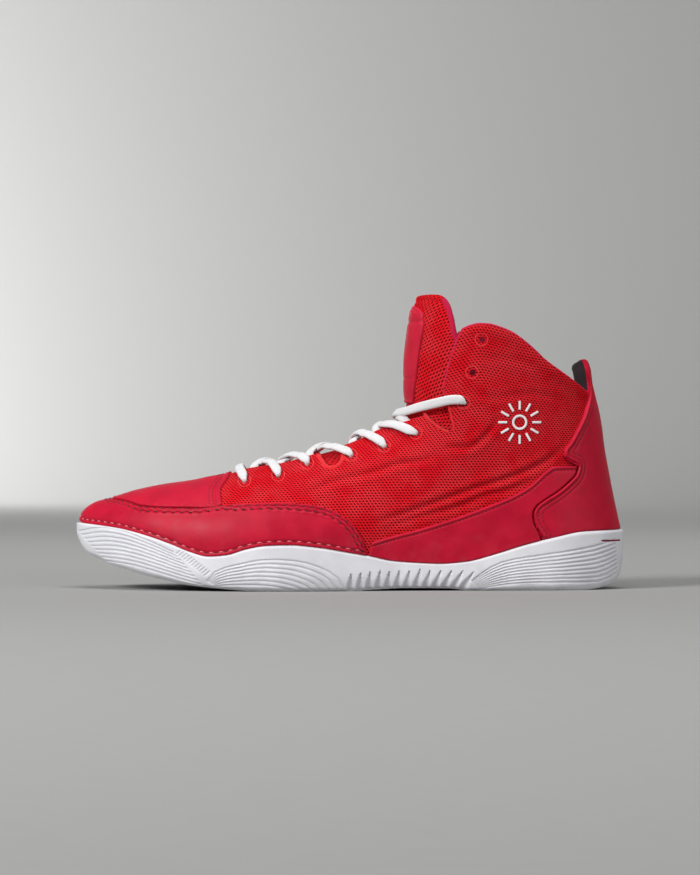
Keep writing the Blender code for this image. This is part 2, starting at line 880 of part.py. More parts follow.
def rib_cutter(name, rib, side):
    """A curved strip that cuts a groove into the side wall of the sole."""
    ends = side_view(np.array(rib).reshape(3, 2))
    control = 2 * ends[1] - (ends[0] + ends[2]) / 2
    points = []
    for t in np.linspace(0.0, 1.0, RIB_STEPS):
        place = (1 - t) ** 2 * ends[0] + 2 * t * (1 - t) * control + t**2 * ends[2]
        run = 2 * (1 - t) * (control - ends[0]) + 2 * t * (ends[2] - control)
        across = np.array((-run[1], run[0])) / np.linalg.norm(run) * RIB_WIDTH / 2
        centre, half = sole_outline(place[0])
        inner_y = centre + side * (half - RIB_DEPTH)
        outer_y = centre + side * (half + RIB_DEPTH * 2)
        for y, sign in ((inner_y, 1), (inner_y, -1), (outer_y, -1), (outer_y, 1)):
            points.append((place[0] + sign * across[0], y, place[1] + sign * across[1]))
    faces = [(0, 1, 2, 3), tuple(4 * (RIB_STEPS - 1) + i for i in (3, 2, 1, 0))]
    for i in range(RIB_STEPS - 1):
        for j in range(4):
            k = (j + 1) % 4
            faces.append((4 * i + j, 4 * i + k, 4 * (i + 1) + k, 4 * (i + 1) + j))
    return add_object(name, points, faces, None, hidden=True)


def make_insole():
    """A thin bed on the floor of the cup, inside the wall of the upper."""
    inset = UPPER_WALL + INSOLE_CLEARANCE
    shares = np.linspace(0.0, 1.0, 5)[:, None]
    layers = []
    for lift in (CLEARANCE + INSOLE_THICKNESS, CLEARANCE):
        grid = []
        for share in both_ends(INSOLE_STATIONS):
            lateral, medial = last_ring(share, cup_floor, lift, -inset)
            grid.append(lateral * (1 - shares) + medial * shares)
        layers.append(np.array(grid))
    return wall_object("insole", layers[0], layers[1], "foam")


def upper_grid():
    """Side-view grid of the upper; the throat begins at THROAT_ROW."""
    toe_floor = (LAST_INSET / LENGTH, float(cup_floor(LAST_INSET - LENGTH / 2)) / COLLAR_HEIGHT)
    lift = CUP_CLEARANCE / COLLAR_HEIGHT
    ridge = [row[:2] for row in RIDGE if row[0] <= THROAT_START + 1e-6 and row[1] < 0.5]
    front_low = [(LAST_INSET / LENGTH, toe_floor[1] + lift), (LAST_INSET / LENGTH, ridge[0][1])]
    toe = np.concatenate((side_view(front_low)[:1], RIDGE_LINE[: ridge_index(THROAT_START) + 1]))
    throat = path_through(side_view(THROAT_EDGE))
    toe_part = spread(toe, TOE_SHARES)
    throat_part = spread(throat, THROAT_SHARES)
    left = np.concatenate((toe_part, throat_part[1:]))
    ups = np.linspace(cup_floor(LENGTH / 2) + CUP_CLEARANCE, COLLAR[-1][1] * COLLAR_HEIGHT, 40)
    back = np.column_stack((heel_back(ups), ups))
    xs = np.linspace(LAST_INSET - LENGTH / 2, back[0, 0], 60)
    bottom = np.column_stack((xs, cup_floor(xs) + CUP_CLEARANCE))
    bottom[0], bottom[-1] = left[0], back[0]
    collar = path_through(side_view(COLLAR))
    collar[0], collar[-1] = left[-1], back[-1]
    across = both_ends(ACROSS)
    upward = np.linspace(0.0, 1.0, UPWARD)
    low, high = spread(bottom, across), spread(collar, across)
    far = spread(back, upward)
    u, v = across[:, None, None], upward[None, :, None]
    ruled = (1 - v) * low[:, None] + v * high[:, None] + (1 - u) * left[None] + u * far[None]
    corners = (
        (1 - u) * (1 - v) * low[0] + u * (1 - v) * low[-1]
        + (1 - u) * v * high[0] + u * v * high[-1]
    )
    return ruled - corners


def ridge_index(along):
    """The point of the ridge line over a place along the foot."""
    return int(np.argmax(RIDGE_LINE[:, 0] >= (along - 0.5) * LENGTH - 1e-6))


def ridge_between(start, end):
    """The stretch of the ridge line between two places along the foot."""
    return RIDGE_LINE[ridge_index(start): ridge_index(end) + 1]


def make_upper():
    grid = upper_grid()
    columns, rows = grid.shape[:2]
    on_ridge = np.zeros((columns, rows), bool)
    on_ridge[0, : THROAT_ROW + 1] = True
    on_ridge[-1] = True
    layers = []
    for offset in (0.0, -UPPER_WALL):
        sides = [
            last_point(grid[..., 0], grid[..., 1], side, offset, on_ridge)
            for side in (LATERAL, MEDIAL)
        ]
        layers.append(np.concatenate((sides[0], sides[1][::-1][1:])))
    upper = wall_object("upper", layers[0], layers[1], "mesh", joined_rows=THROAT_ROW)
    cutters = [prism("ankle_notch_cutter", ANKLE_NOTCH), prism("flex_notch_cutter", FLEX_NOTCH)]
    cutters += [eyelet_cutter(f"eyelet_cutter_{i + 1}", *place) for i, place in enumerate(EYELETS)]
    for cutter in cutters:
        # EXACT loses the thin wall at some sizes
        cut(upper, cutter, solver="MANIFOLD")
    return upper


def eyelet_cutter(name, along, up):
    """A round bar right through both sides at one row of eyelets."""
    x, z = side_view([(along, up)])[0]
    sides = 6
    radius = EYELET_DIAMETER / 2
    ring = [
        (x + radius * math.cos(2 * math.pi * i / sides), z + radius * math.sin(2 * math.pi * i / sides))
        for i in range(sides)
    ]
    points = [(px, side * BALL_WIDTH, pz) for side in (LATERAL, MEDIAL) for px, pz in ring]
    faces = [tuple(range(sides)), tuple(range(2 * sides - 1, sides - 1, -1))]
    faces += [(i, (i + 1) % sides, sides + (i + 1) % sides, sides + i) for i in range(sides)]
    return add_object(name, points, faces, None, hidden=True)


def make_tongue():
    outer = -(UPPER_WALL + TONGUE_CLEARANCE)
    inner = outer - TONGUE_THICKNESS
    start = ridge_index(TONGUE_START)
    stop = int(np.argmax(RIDGE_LINE[:, 1] >= TONGUE_TOP[0][1] * COLLAR_HEIGHT - 1e-6))
    left = RIDGE_LINE[start: stop + 1]
    right = path_through(side_view(TONGUE_EDGE))
    bottom = np.array((left[0], right[0]))
    top = path_through(side_view(TONGUE_TOP))
    top[0] = left[-1]
    right[-1] = top[-1]
    rows = side_view([row for row in RIDGE if row[0] >= TONGUE_START and row[1] <= TONGUE_TOP[0][1]])
    grid = coons(bottom, right, top, left, from_ridge(5), shares_of(rows))
    layers = wrapped(grid, inner, outer, "first")
    return wall_object("tongue", layers[0], layers[1], "mesh")


def make_label():
    low = -(UPPER_WALL + TONGUE_CLEARANCE) + LABEL_CLEARANCE
    heights = RIDGE_LINE[:, 1] / COLLAR_HEIGHT
    start = int(np.argmax(heights >= LABEL_RIDGE[0]))
    stop = int(np.argmax(heights >= LABEL_RIDGE[1]))
    left = RIDGE_LINE[start: stop + 1]
    right = path_through(side_view(LABEL_EDGE))
    bottom = np.array((left[0], right[0]))
    top = np.array((left[-1], right[-1]))
    grid = coons(bottom, right, top, left, from_ridge(4), np.linspace(0.0, 1.0, 8))
    layers = wrapped(grid, low, low + LABEL_THICKNESS, "first")
    return wall_object("tongue_label", layers[0], layers[1], "smooth")


def rim_line(start, end, count=40):
    """The line just above the rim of the cup, where an overlay ends."""
    xs = np.linspace((start - 0.5) * LENGTH, (end - 0.5) * LENGTH, count)
    return np.column_stack((xs, rim(xs) + RIM_CLEARANCE))


def make_vamp():
    top = ridge_between(VAMP_SEAM[0][0], VAMP_REAR[-1][0])
    bottom = path_through(side_view(VAMP_SEAM))
    right = path_through(side_view(VAMP_REAR))
    bottom[0] = top[0]
    right[0], right[-1] = bottom[-1], top[-1]
    left = np.array((top[0], top[0]))
    across = np.linspace(0.0, 1.0, VAMP_COLUMNS) ** TOE_CROWDING
    grid = coons(top, right[::-1], bottom, left, across, from_ridge(6))
    grid = grid.transpose(1, 0, 2)
    layers = wrapped(grid, OVERLAY_CLEARANCE, OVERLAY_CLEARANCE + VAMP_THICKNESS, "first")
    return wall_object("vamp", layers[0], layers[1], "smooth")


def make_rand():
    stop = ridge_index(RAND_TOP[0][0])
    left = RIDGE_LINE[2: stop + 1]
    top = path_through(side_view(RAND_TOP))
    top[0] = left[-1]
    bottom = rim_line(float(along_of(left[0, 0])), RAND_REAR)
    bottom[0] = left[0]
    right = np.array((bottom[-1], top[-1]))
    across = np.linspace(0.0, 1.0, RAND_COLUMNS) ** TOE_CROWDING
    grid = coons(bottom, right, top, left, across, np.linspace(0.0, 1.0, 5))
    layers = wrapped(grid, OVERLAY_CLEARANCE, OVERLAY_CLEARANCE + OVERLAY_THICKNESS, "first")
    return wall_object("toe_rand", layers[0], layers[1], "smooth")


def make_quarter_panel(name, side):
    top = path_through(side_view(QUARTER_TOP))
    counter = side_view([row for row in COUNTER_FRONT if row[1] <= QUARTER_TOP[-1][1]])
    right = counter - (PANEL_GAP, 0.0)
    bottom = rim_line(QUARTER_FRONT, float(along_of(right[0, 0])))
    right[0] = bottom[-1]
    right[-1] = top[-1]
    left = np.array((bottom[0], top[0]))
    grid = coons(bottom, right, top, left, np.linspace(0.0, 1.0, 9), shares_of(right))
    outer = last_point(grid[..., 0], grid[..., 1], side, OVERLAY_CLEARANCE + OVERLAY_THICKNESS)
    inner = last_point(grid[..., 0], grid[..., 1], side, OVERLAY_CLEARANCE)
    return wall_object(name, outer, inner, "smooth")


def heel_line(low, high, count=40):
    ups = np.linspace(low, high, count)
    return np.column_stack((heel_back(ups), ups))


def make_counter():
    left = side_view(COUNTER_FRONT)
    top = side_view(COUNTER_TOP)
    start = float(along_of(left[0, 0]))
    bottom = rim_line(start, HEEL_BACK[1][1])
    right = heel_line(bottom[-1, 1], top[-1, 1])
    bottom[0], bottom[-1], top[-1] = left[0], right[0], right[-1]
    across = 1 - quarter_round(6)[::-1]
    grid = coons(bottom, right, top, left, across, shares_of(left))
    layers = wrapped(grid, OVERLAY_CLEARANCE, OVERLAY_CLEARANCE + OVERLAY_THICKNESS, "last")
    return wall_object("heel_counter", layers[0], layers[1], "smooth")


def make_tab_lining():
    front = path_through(side_view(COUNTER_FRONT))
    low, high = (share * COLLAR_HEIGHT for share in TAB_LINING_UP)
    left = front[(front[:, 1] >= low) & (front[:, 1] <= high)] + (LINING_SET_BACK, 0.0)
    right = heel_line(left[0, 1], left[-1, 1], 12)
    bottom = np.array((left[0], right[0]))
    top = np.array((left[-1], right[-1]))
    grid = coons(bottom, right, top, left, 1 - from_ridge(4)[::-1], np.linspace(0.0, 1.0, 5))
    layers = wrapped(grid, -TAB_LINING_THICKNESS, 0.0, "last")
    return wall_object("tab_lining", layers[0], layers[1], "lining")


def crown_point(x, y_share, side_width, offset):
    """A point over the throat: y_share runs from -1 (lateral) to 1 (medial) of side_width."""
    side = MEDIAL if y_share > 0 else LATERAL
    wanted = abs(y_share) * side_width
    low, high = 0.0, BALL_WIDTH / 3
    top = float(ridge_height(x))
    for _ in range(30):
        middle = (low + high) / 2
        _, squared = last_section(x, top - middle)
        if float(squared) < wanted**2:
            low = middle
        else:
            high = middle
    z = top - (low + high) / 2
    return last_point(x, z, side, offset, wanted < 1e-5), last_normal(x, z, side)


def last_normal(x, z, side):
    return (last_point(x, z, side, 0.001) - last_point(x, z, side, 0.0)) * 1000


def throat_half_width(x):
    """Half-width of the throat between the edges of the upper."""
    _, squared = last_section(x, throat_edge_height(x))
    return math.sqrt(max(float(squared), 0.0))


def ribbon(name, stations, hidden=False):
    """A flat oval lace through stations of (point, normal)."""
    points = np.array([station[0] for station in stations])
    normals = np.array([station[1] for station in stations])
    normals /= np.linalg.norm(normals, axis=1, keepdims=True)
    tangents = np.gradient(points, axis=0)
    tangents /= np.linalg.norm(tangents, axis=1, keepdims=True)
    sides = np.cross(tangents, normals)
    sides /= np.linalg.norm(sides, axis=1, keepdims=True)
    lifts = np.cross(sides, tangents)
    around = 6
    ring = []
    for k in range(around):
        angle = 2 * math.pi * (k + 0.5) / around
        ring.append((
            math.copysign(abs(math.cos(angle)) ** 0.6, math.cos(angle)) * LACE_WIDTH / 2,
            math.sin(angle) * LACE_THICKNESS / 2,
        ))
    mesh_points = [
        points[i] + across * sides[i] + lift * lifts[i]
        for i in range(len(points)) for across, lift in ring
    ]
    faces = [tuple(range(around)), tuple((len(points) - 1) * around + k for k in reversed(range(around)))]
    for i in range(len(points) - 1):
        for k in range(around):
            n = (k + 1) % around
            faces.append((i * around + k, i * around + n, (i + 1) * around + n, (i + 1) * around + k))
    return add_object(name, mesh_points, faces, "lace", hidden)


LACE_LIFT = LACE_CLEARANCE + LACE_THICKNESS / 2
LACE_SINK = -UPPER_WALL / 2


def throat_edge_height(x):
    edge = path_through(side_view(THROAT_EDGE))
    return float(np.interp(x, edge[:, 0], edge[:, 1]))


def down_the_side(row, side, forward=0.0):
    """Stations from the eyelet of a row to the edge of the throat, forward metres nearer the toe."""
    x, z = side_view([EYELETS[row]])[0]
    edge_z = throat_edge_height(x - forward)
    stations = []
    for share in (-0.12, 0.2, 0.5, 0.8):
        place_x = x - forward * max(share, 0.0) ** 1.5
        place_z = z + (edge_z - z) * share
        point = last_point(place_x, place_z, side, LACE_LIFT)
        stations.append((point, last_normal(place_x, place_z, side)))
    return stations


def crossing(row, side):
    """Stations of one lace: from the eyelet of a row to the far edge one row lower."""
    start_x = side_view([EYELETS[row]])[0][0]
    pitch = start_x - side_view([EYELETS[row - 1]])[0][0]
    forward = pitch * LACE_OVER_EDGE[row]
    stations = down_the_side(row, side, forward)
    edge_x = start_x - forward
    end_x = start_x - pitch * LACE_END[row]
    for t in (0.0, 0.4, 0.75, 1.0):
        x = edge_x + (end_x - edge_x) * t
        reach = NEAR_REACH * (1 - t) - FAR_REACH * t
        offset = LACE_LIFT + (LACE_SINK - LACE_LIFT) * ease(t, 0.15, 1.0)
        stations.append(crown_point(x, side * reach, throat_half_width(x), offset))
    return stations


def charted_crossing(table, side):
    """Stations of a lace that turns the corner of the ankle, from a table of places."""
    stations = []
    for along, up, across, offset in table:
        x, z = side_view([(along, up)])[0]
        on_ridge = across == 0
        if on_ridge:
            x, z = RIDGE_LINE[np.linalg.norm(RIDGE_LINE - (x, z), axis=1).argmin()]
        facing = side if across >= 0 else -side
        height = LACE_SINK + (LACE_LIFT - LACE_SINK) * offset
        normal = last_point(x, z, facing, 0.001, on_ridge) - last_point(x, z, facing, 0.0, on_ridge)
        stations.append((last_point(x, z, facing, height, on_ridge), normal))
    return stations


def make_laces():
    x = side_view([EYELETS[0]])[0][0]
    width = throat_half_width(x)
    bar = down_the_side(0, LATERAL)
    for reach in (-0.8, 0.0, 0.8):
        bar.append(crown_point(x, reach, width, LACE_LIFT))
    bar += down_the_side(0, MEDIAL)[::-1]
    ribbon("lace_1", bar)
    charts = {LACED_ROWS - 2: INSTEP_LACE, LACED_ROWS - 1: ANKLE_LACE}
    for row in range(1, LACED_ROWS):
        chart = charts.get(row)
        halves = [
            charted_crossing(chart, side) if chart else crossing(row, side)
            for side in (LATERAL, MEDIAL)
        ]
        near = ribbon(f"lace_{row + 1}", halves[0])
        far = ribbon(f"lace_{row + 1}_far", halves[1], hidden=True)
        cut(near, far, "UNION")


def main():
    for old in list(bpy.data.objects):
        bpy.data.objects.remove(old, do_unlink=True)
    make_outsole()
    make_insole()
    make_upper()
    make_tongue()
    make_label()
    make_rand()
    make_vamp()
    make_quarter_panel("quarter_panel_lateral", LATERAL)
    make_quarter_panel("quarter_panel_medial", MEDIAL)
    make_counter()
    make_tab_lining()
    make_laces()


if __name__ == "__main__":
    main()
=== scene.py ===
"""A left high-top wrestling shoe, dressed: knitted upper, smooth overlays, ribbed cup sole and lace.

X runs from toe to heel, +Y is the inner side of the foot, Z is up, and z = 0 is the floor.
Every surface above the sole follows one last, a half-width for each place in the side view,
and is moved out from it along its own normal.
"""

import math

import bmesh
import bpy
import numpy as np
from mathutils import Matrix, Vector, noise


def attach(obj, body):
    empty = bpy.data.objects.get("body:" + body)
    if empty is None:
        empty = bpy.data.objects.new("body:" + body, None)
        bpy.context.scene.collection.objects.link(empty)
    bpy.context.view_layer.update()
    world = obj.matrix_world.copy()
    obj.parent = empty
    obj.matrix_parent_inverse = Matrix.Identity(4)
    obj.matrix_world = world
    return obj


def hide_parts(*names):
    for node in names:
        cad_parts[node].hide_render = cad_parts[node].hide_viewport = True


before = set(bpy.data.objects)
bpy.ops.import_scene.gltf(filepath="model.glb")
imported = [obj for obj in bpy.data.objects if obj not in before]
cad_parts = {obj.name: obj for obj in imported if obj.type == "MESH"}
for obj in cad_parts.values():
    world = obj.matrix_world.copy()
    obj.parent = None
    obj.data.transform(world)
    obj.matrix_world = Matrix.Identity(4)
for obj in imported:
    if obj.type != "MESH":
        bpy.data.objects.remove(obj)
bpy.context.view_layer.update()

# Sizes that the solids share, in metres
LENGTH = 0.291
BALL_WIDTH = 0.096
COLLAR_HEIGHT = 0.140
UPPER_WALL = 0.0024
OVERLAY_THICKNESS = 0.0011
VAMP_THICKNESS = 0.0014
CUP_WALL = 0.0022
CUP_CLEARANCE = 0.0005
CLEARANCE = 0.0003
PANEL_GAP = 0.0005
OVERLAY_CLEARANCE = 0.0006
INSOLE_THICKNESS = 0.003
INSOLE_CLEARANCE = 0.0012
TONGUE_THICKNESS = 0.0024
TONGUE_CLEARANCE = 0.0012
LABEL_THICKNESS = 0.0008
LABEL_CLEARANCE = 0.0006
TAB_LINING_THICKNESS = 0.0009
LINING_SET_BACK = 0.0004
EYELET_DIAMETER = 0.0038
SHAFT_ROUNDING = 0.048
LUG_GROOVE_WIDTH = 0.0024
LUG_GROOVE_DEPTH = 0.0012
SOLE_TUCK = 0.0032

# How far the last lies inside the outline of the sole
LAST_INSET = CUP_WALL + CUP_CLEARANCE

LATERAL = -1.0
MEDIAL = 1.0
SIDES = (LATERAL, MEDIAL)

# In every table, along is a share of LENGTH from the toe, and up is a share of COLLAR_HEIGHT.
# Sideways values are shares of BALL_WIDTH.
SOLE_PLAN = (
    # along, centre, half width before the ends are rounded
    (0.0, 0.116, 0.335), (0.05, 0.092, 0.36), (0.1, 0.068, 0.388), (0.15, 0.046, 0.418),
    (0.2, 0.03, 0.448), (0.25, 0.016, 0.479), (0.3, 0.005, 0.495), (0.35, -0.01, 0.49),
    (0.4, -0.031, 0.464), (0.45, -0.047, 0.427), (0.5, -0.055, 0.388), (0.55, -0.052, 0.359),
    (0.6, -0.044, 0.341), (0.7, -0.018, 0.336), (0.8, 0.008, 0.352), (0.85, 0.013, 0.352),
    (0.9, 0.016, 0.343), (0.95, 0.016, 0.322), (1.0, 0.016, 0.307),
)
TOE_ROUNDING = 0.20
HEEL_ROUNDING = 0.15

UNDERSIDE = (
    # along, up
    (0.0, 0.215), (0.004, 0.192), (0.014, 0.155), (0.028, 0.13), (0.046, 0.116), (0.068, 0.095),
    (0.101, 0.076), (0.136, 0.056), (0.171, 0.04), (0.206, 0.024), (0.244, 0.015), (0.275, 0.009),
    (0.33, 0.001), (0.36, 0.0), (0.5, 0.0), (0.55, 0.006), (0.6, 0.01), (0.68, 0.008), (0.72, 0.0),
    (0.92, 0.0), (0.946, 0.005), (0.967, 0.016), (0.986, 0.041), (0.995, 0.072), (1.0, 0.14),
)
RIM = (
    # along, up
    (0.0, 0.248), (0.081, 0.23), (0.135, 0.204), (0.183, 0.171), (0.216, 0.144), (0.249, 0.128),
    (0.282, 0.134), (0.315, 0.155), (0.354, 0.169), (0.393, 0.171), (0.446, 0.161), (0.499, 0.142),
    (0.532, 0.13), (0.578, 0.11), (0.618, 0.103), (0.664, 0.099), (0.711, 0.107), (0.763, 0.135),
    (0.816, 0.169), (0.87, 0.197), (0.924, 0.218), (1.0, 0.223),
)
CUP_FLOOR = (
    # along, up
    (0.0, 0.216), (0.009, 0.211), (0.026, 0.18), (0.046, 0.157), (0.101, 0.12), (0.171, 0.087),
    (0.244, 0.067), (0.33, 0.054), (0.5, 0.052), (0.64, 0.061), (0.775, 0.079), (1.0, 0.082),
)
# The last's top line: toe, vamp, instep, then the front of the ankle and shaft
RIDGE = (
    # along, up, how square the section below is
    (0.009, 0.251, 2.3), (0.01, 0.264, 2.3), (0.0175, 0.288, 2.3), (0.03, 0.308, 2.3),
    (0.043, 0.32, 2.3), (0.0595, 0.328, 2.3), (0.077, 0.338, 2.3), (0.112, 0.36, 2.25),
    (0.164, 0.382, 2.15), (0.217, 0.398, 2.0), (0.261, 0.421, 1.85), (0.286, 0.438, 1.8),
    (0.3145, 0.464, 1.8), (0.387, 0.496, 1.85), (0.438, 0.529, 1.95), (0.488, 0.559, 2.1),
    (0.533, 0.597, 2.15), (0.562, 0.626, 2.15), (0.581, 0.652, 2.1), (0.591, 0.686, 2.05),
    (0.5925, 0.723, 2.0), (0.591, 0.759, 2.0), (0.591, 0.839, 2.0), (0.597, 0.975, 2.0),
    (0.6055, 1.075, 2.0), (0.6085, 1.096, 2.0), (0.611, 1.115, 2.0), (0.614, 1.135, 2.0),
)
ANKLE_CORNER = 0.581
THROAT_START = 0.286
WIDEST = (
    # along, up
    (0.0, 0.236), (0.081, 0.22), (0.135, 0.205), (0.2, 0.18), (0.25, 0.175), (0.3, 0.18),
    (0.4, 0.19), (0.5, 0.185), (0.6, 0.17), (1.0, 0.17),
)
SHAFT_HALF_WIDTH = (
    # up, half width
    (0.0, 0.33), (0.4, 0.335), (0.6, 0.349), (0.82, 0.37), (1.0, 0.385), (1.15, 0.385),
)
HEEL_BACK = (
    # up, along, rounding of the back as a share of LENGTH
    (0.0, 0.9905, 0.15), (0.22, 0.99, 0.15), (0.26, 0.986, 0.152), (0.33, 0.9785, 0.158),
    (0.408, 0.971, 0.165), (0.515, 0.961, 0.178), (0.611, 0.955, 0.185), (0.671, 0.95, 0.185),
    (0.715, 0.945, 0.183), (0.742, 0.942, 0.18), (0.778, 0.938, 0.178), (0.828, 0.9345, 0.175),
    (0.86, 0.929, 0.172), (0.9, 0.922, 0.17), (1.15, 0.9, 0.165),
)
# Where the section of the foot turns into the section of the shaft
BLEND_UP = (0.18, 0.60)
BLEND_ALONG = (0.29, 0.57)
RADIAL_ALONG = (0.38, 0.55)

THROAT_EDGE = (
    # along, up: from the vamp up to the top of the ankle flap
    (0.286, 0.438), (0.3, 0.4465), (0.311, 0.4555), (0.325, 0.461), (0.387, 0.482), (0.429, 0.508),
    (0.488, 0.544), (0.533, 0.582), (0.547, 0.599), (0.561, 0.611), (0.588, 0.63), (0.602, 0.636),
    (0.633, 0.657), (0.655, 0.693), (0.669, 0.732), (0.667, 0.756), (0.67, 0.794), (0.677, 0.849),
    (0.686, 0.911), (0.692, 0.942), (0.701, 0.979),
)
COLLAR = (
    # along, up: from the flap back to the heel
    (0.701, 0.979), (0.716, 0.992), (0.733, 0.999), (0.751, 0.997), (0.769, 0.987), (0.792, 0.968),
    (0.81, 0.944), (0.834, 0.904), (0.853, 0.867), (0.877, 0.831), (0.899, 0.8), (0.915, 0.776),
    (0.932, 0.751), (0.942, 0.742),
)
ANKLE_NOTCH = (
    # along, up
    (0.6345, 0.668), (0.642, 0.648), (0.656, 0.622), (0.67, 0.603), (0.684, 0.592), (0.685, 0.61),
    (0.682, 0.64), (0.676, 0.69), (0.668, 0.738), (0.64, 0.74),
)
FLEX_NOTCH = (
    # along, up
    (0.4415, 0.53), (0.4535, 0.489), (0.459, 0.475), (0.4655, 0.467), (0.471, 0.468),
    (0.4765, 0.474), (0.483, 0.49), (0.489, 0.56),
)
VAMP_SEAM = (
    # along, up: where the vamp ends over the rand
    (0.067, 0.332), (0.076, 0.333), (0.099, 0.327), (0.128, 0.312), (0.171, 0.307), (0.223, 0.306),
    (0.262, 0.315), (0.272, 0.322),
)
VAMP_REAR = (
    # along, up: from the seam up to the throat
    (0.272, 0.322), (0.27, 0.343), (0.269, 0.362), (0.269, 0.376), (0.272, 0.39), (0.279, 0.411),
    (0.284, 0.4365),
)
RAND_TOP = (
    # along, up: from the toe to the waist
    (0.064, 0.33), (0.074, 0.3285), (0.099, 0.3225), (0.128, 0.3075), (0.171, 0.3025),
    (0.223, 0.3015), (0.274, 0.313), (0.325, 0.321), (0.377, 0.324), (0.428, 0.318), (0.462, 0.304),
    (0.489, 0.275), (0.51, 0.234), (0.519, 0.205), (0.527, 0.17),
)
RAND_REAR = 0.530
QUARTER_TOP = (
    # along, up: from the waist to the counter
    (0.54, 0.182), (0.569, 0.2), (0.62, 0.227), (0.689, 0.271), (0.75, 0.317), (0.791, 0.352),
    (0.826, 0.395), (0.852, 0.445), (0.867, 0.464), (0.9095, 0.466),
)
QUARTER_FRONT = 0.534
COUNTER_FRONT = (
    # along, up: from the rim to the top of the pull tab
    (0.846, 0.205), (0.832, 0.26), (0.831, 0.286), (0.836, 0.312), (0.851, 0.338), (0.874, 0.369),
    (0.895, 0.406), (0.908, 0.437), (0.911, 0.466), (0.898, 0.484), (0.886, 0.505), (0.886, 0.521),
    (0.896, 0.552), (0.909, 0.6), (0.917, 0.631), (0.925, 0.673), (0.9325, 0.742), (0.9275, 0.83),
    (0.9215, 0.866),
)
COUNTER_TOP = (
    # along, up
    (0.9215, 0.866), (0.9285, 0.862),
)
TONGUE_START = 0.261
TONGUE_TOP = (
    # along, up: from the front round to the free edge
    (0.611, 1.115), (0.618, 1.1175), (0.632, 1.118), (0.65, 1.114), (0.662, 1.104), (0.669, 1.09),
)
TONGUE_EDGE = (
    # along, up: the free edge under the upper, from the vamp to the top
    (0.261, 0.398), (0.3, 0.416), (0.35, 0.428), (0.4, 0.438), (0.45, 0.452), (0.52, 0.486),
    (0.58, 0.518), (0.64, 0.545), (0.685, 0.582), (0.708, 0.65), (0.712, 0.74), (0.708, 0.83),
    (0.698, 0.91), (0.687, 0.968), (0.682, 1.018), (0.675, 1.066), (0.669, 1.09),
)
LABEL_EDGE = (
    # along, up: the free edge of the label, from the bottom to the top
    (0.607, 0.7), (0.61, 0.745), (0.614, 0.81), (0.619, 0.897), (0.6265, 0.998), (0.6255, 1.036),
    (0.618, 1.06),
)
LABEL_RIDGE = (0.700, 1.072)
TAB_LINING_UP = (0.757, 0.852)

EYELETS = (
    # along, up
    (0.311, 0.411), (0.372, 0.431), (0.424, 0.475), (0.503, 0.505), (0.563, 0.539), (0.62, 0.588),
    (0.7055, 0.701), (0.7205, 0.814), (0.737, 0.936),
)
LACED_ROWS = 7
# Where each crossing passes the near edge and where it ends, as shares of the way to the row below
LACE_NEAR_EDGE = (0.0, 0.22, 0.25, 0.45, 0.55)
LACE_END = (0.0, 0.74, 0.96, 0.96, 0.96)
# How far a crossing reaches past the near edge and short of the far edge, in half-widths of the throat
NEAR_REACH = 1.05
FAR_REACH = 0.57
INSTEP_LACE = (
    # along, up, side (1 its own, -1 the other, 0 the ridge), height (1 over the upper, 0 sunk)
    (0.62, 0.578, 1, 1.1), (0.611, 0.594, 1, 1.2), (0.598, 0.604, 1, 1.3), (0.584, 0.61, 1, 1.3),
    (0.57, 0.614, 1, 1.1), (0.56, 0.617, 1, 0.7), (0.553, 0.617, 0, 0.35), (0.548, 0.606, -1, 0.1),
)
ANKLE_LACE = (
    # the same columns
    (0.7055, 0.69, 1, 1.0), (0.7, 0.712, 1, 1.0), (0.682, 0.712, 1, 1.0), (0.658, 0.7, 1, 0.9),
    (0.624, 0.684, 1, 0.5), (0.602, 0.671, 1, 0.2), (0.585, 0.66, 0, 0.2), (0.592, 0.652, -1, 0.1),
)


def smooth_values(places, values, at):
    """Values between rows by a monotone cubic, so that level stretches stay level."""
    steps = np.diff(places)
    slopes = np.diff(values) / steps
    inner = np.zeros(len(places))
    inner[0], inner[-1] = slopes[0], slopes[-1]
    for i in range(1, len(places) - 1):
        before, after = slopes[i - 1], slopes[i]
        if before * after > 0:
            first = 2 * steps[i] + steps[i - 1]
            second = steps[i] + 2 * steps[i - 1]
            inner[i] = (first + second) / (first / before + second / after)
    at = np.clip(at, places[0], places[-1])
    row = np.clip(np.searchsorted(places, at, side="right") - 1, 0, len(steps) - 1)
    step = steps[row]
    t = (at - places[row]) / step
    return (
        values[row] * (2 * t**3 - 3 * t**2 + 1)
        + inner[row] * step * (t**3 - 2 * t**2 + t)
        + values[row + 1] * (3 * t**2 - 2 * t**3)
        + inner[row + 1] * step * (t**3 - t**2)
    )


def from_table(table, at, column=1):
    rows = np.array(table)
    return smooth_values(rows[:, 0], rows[:, column], np.asarray(at, float))


def ease(value, low, high):
    """0 at low, 1 at high, level at both ends."""
    t = np.clip((value - low) / (high - low), 0.0, 1.0)
    return t * t * (3 - 2 * t)


def signed_power(value, power):
    return np.sign(value) * np.abs(value) ** power


def side_view(points):
    """Shares of length and height as metres in the side view."""
    points = np.array(points, float)[:, :2]
    return np.column_stack(((points[:, 0] - 0.5) * LENGTH, points[:, 1] * COLLAR_HEIGHT))


def along_of(x):
    return np.asarray(x) / LENGTH + 0.5


def length_of(line):
    return np.linalg.norm(np.diff(line, axis=0), axis=1).sum()


def travelled_on(line):
    """How far along a line each of its points lies."""
    return np.concatenate(([0.0], np.cumsum(np.linalg.norm(np.diff(line, axis=0), axis=1))))


def between(at, places, values):
    """Rows of values read off between the places that they belong to."""
    return np.column_stack([np.interp(at, places, values[:, k]) for k in range(values.shape[1])])


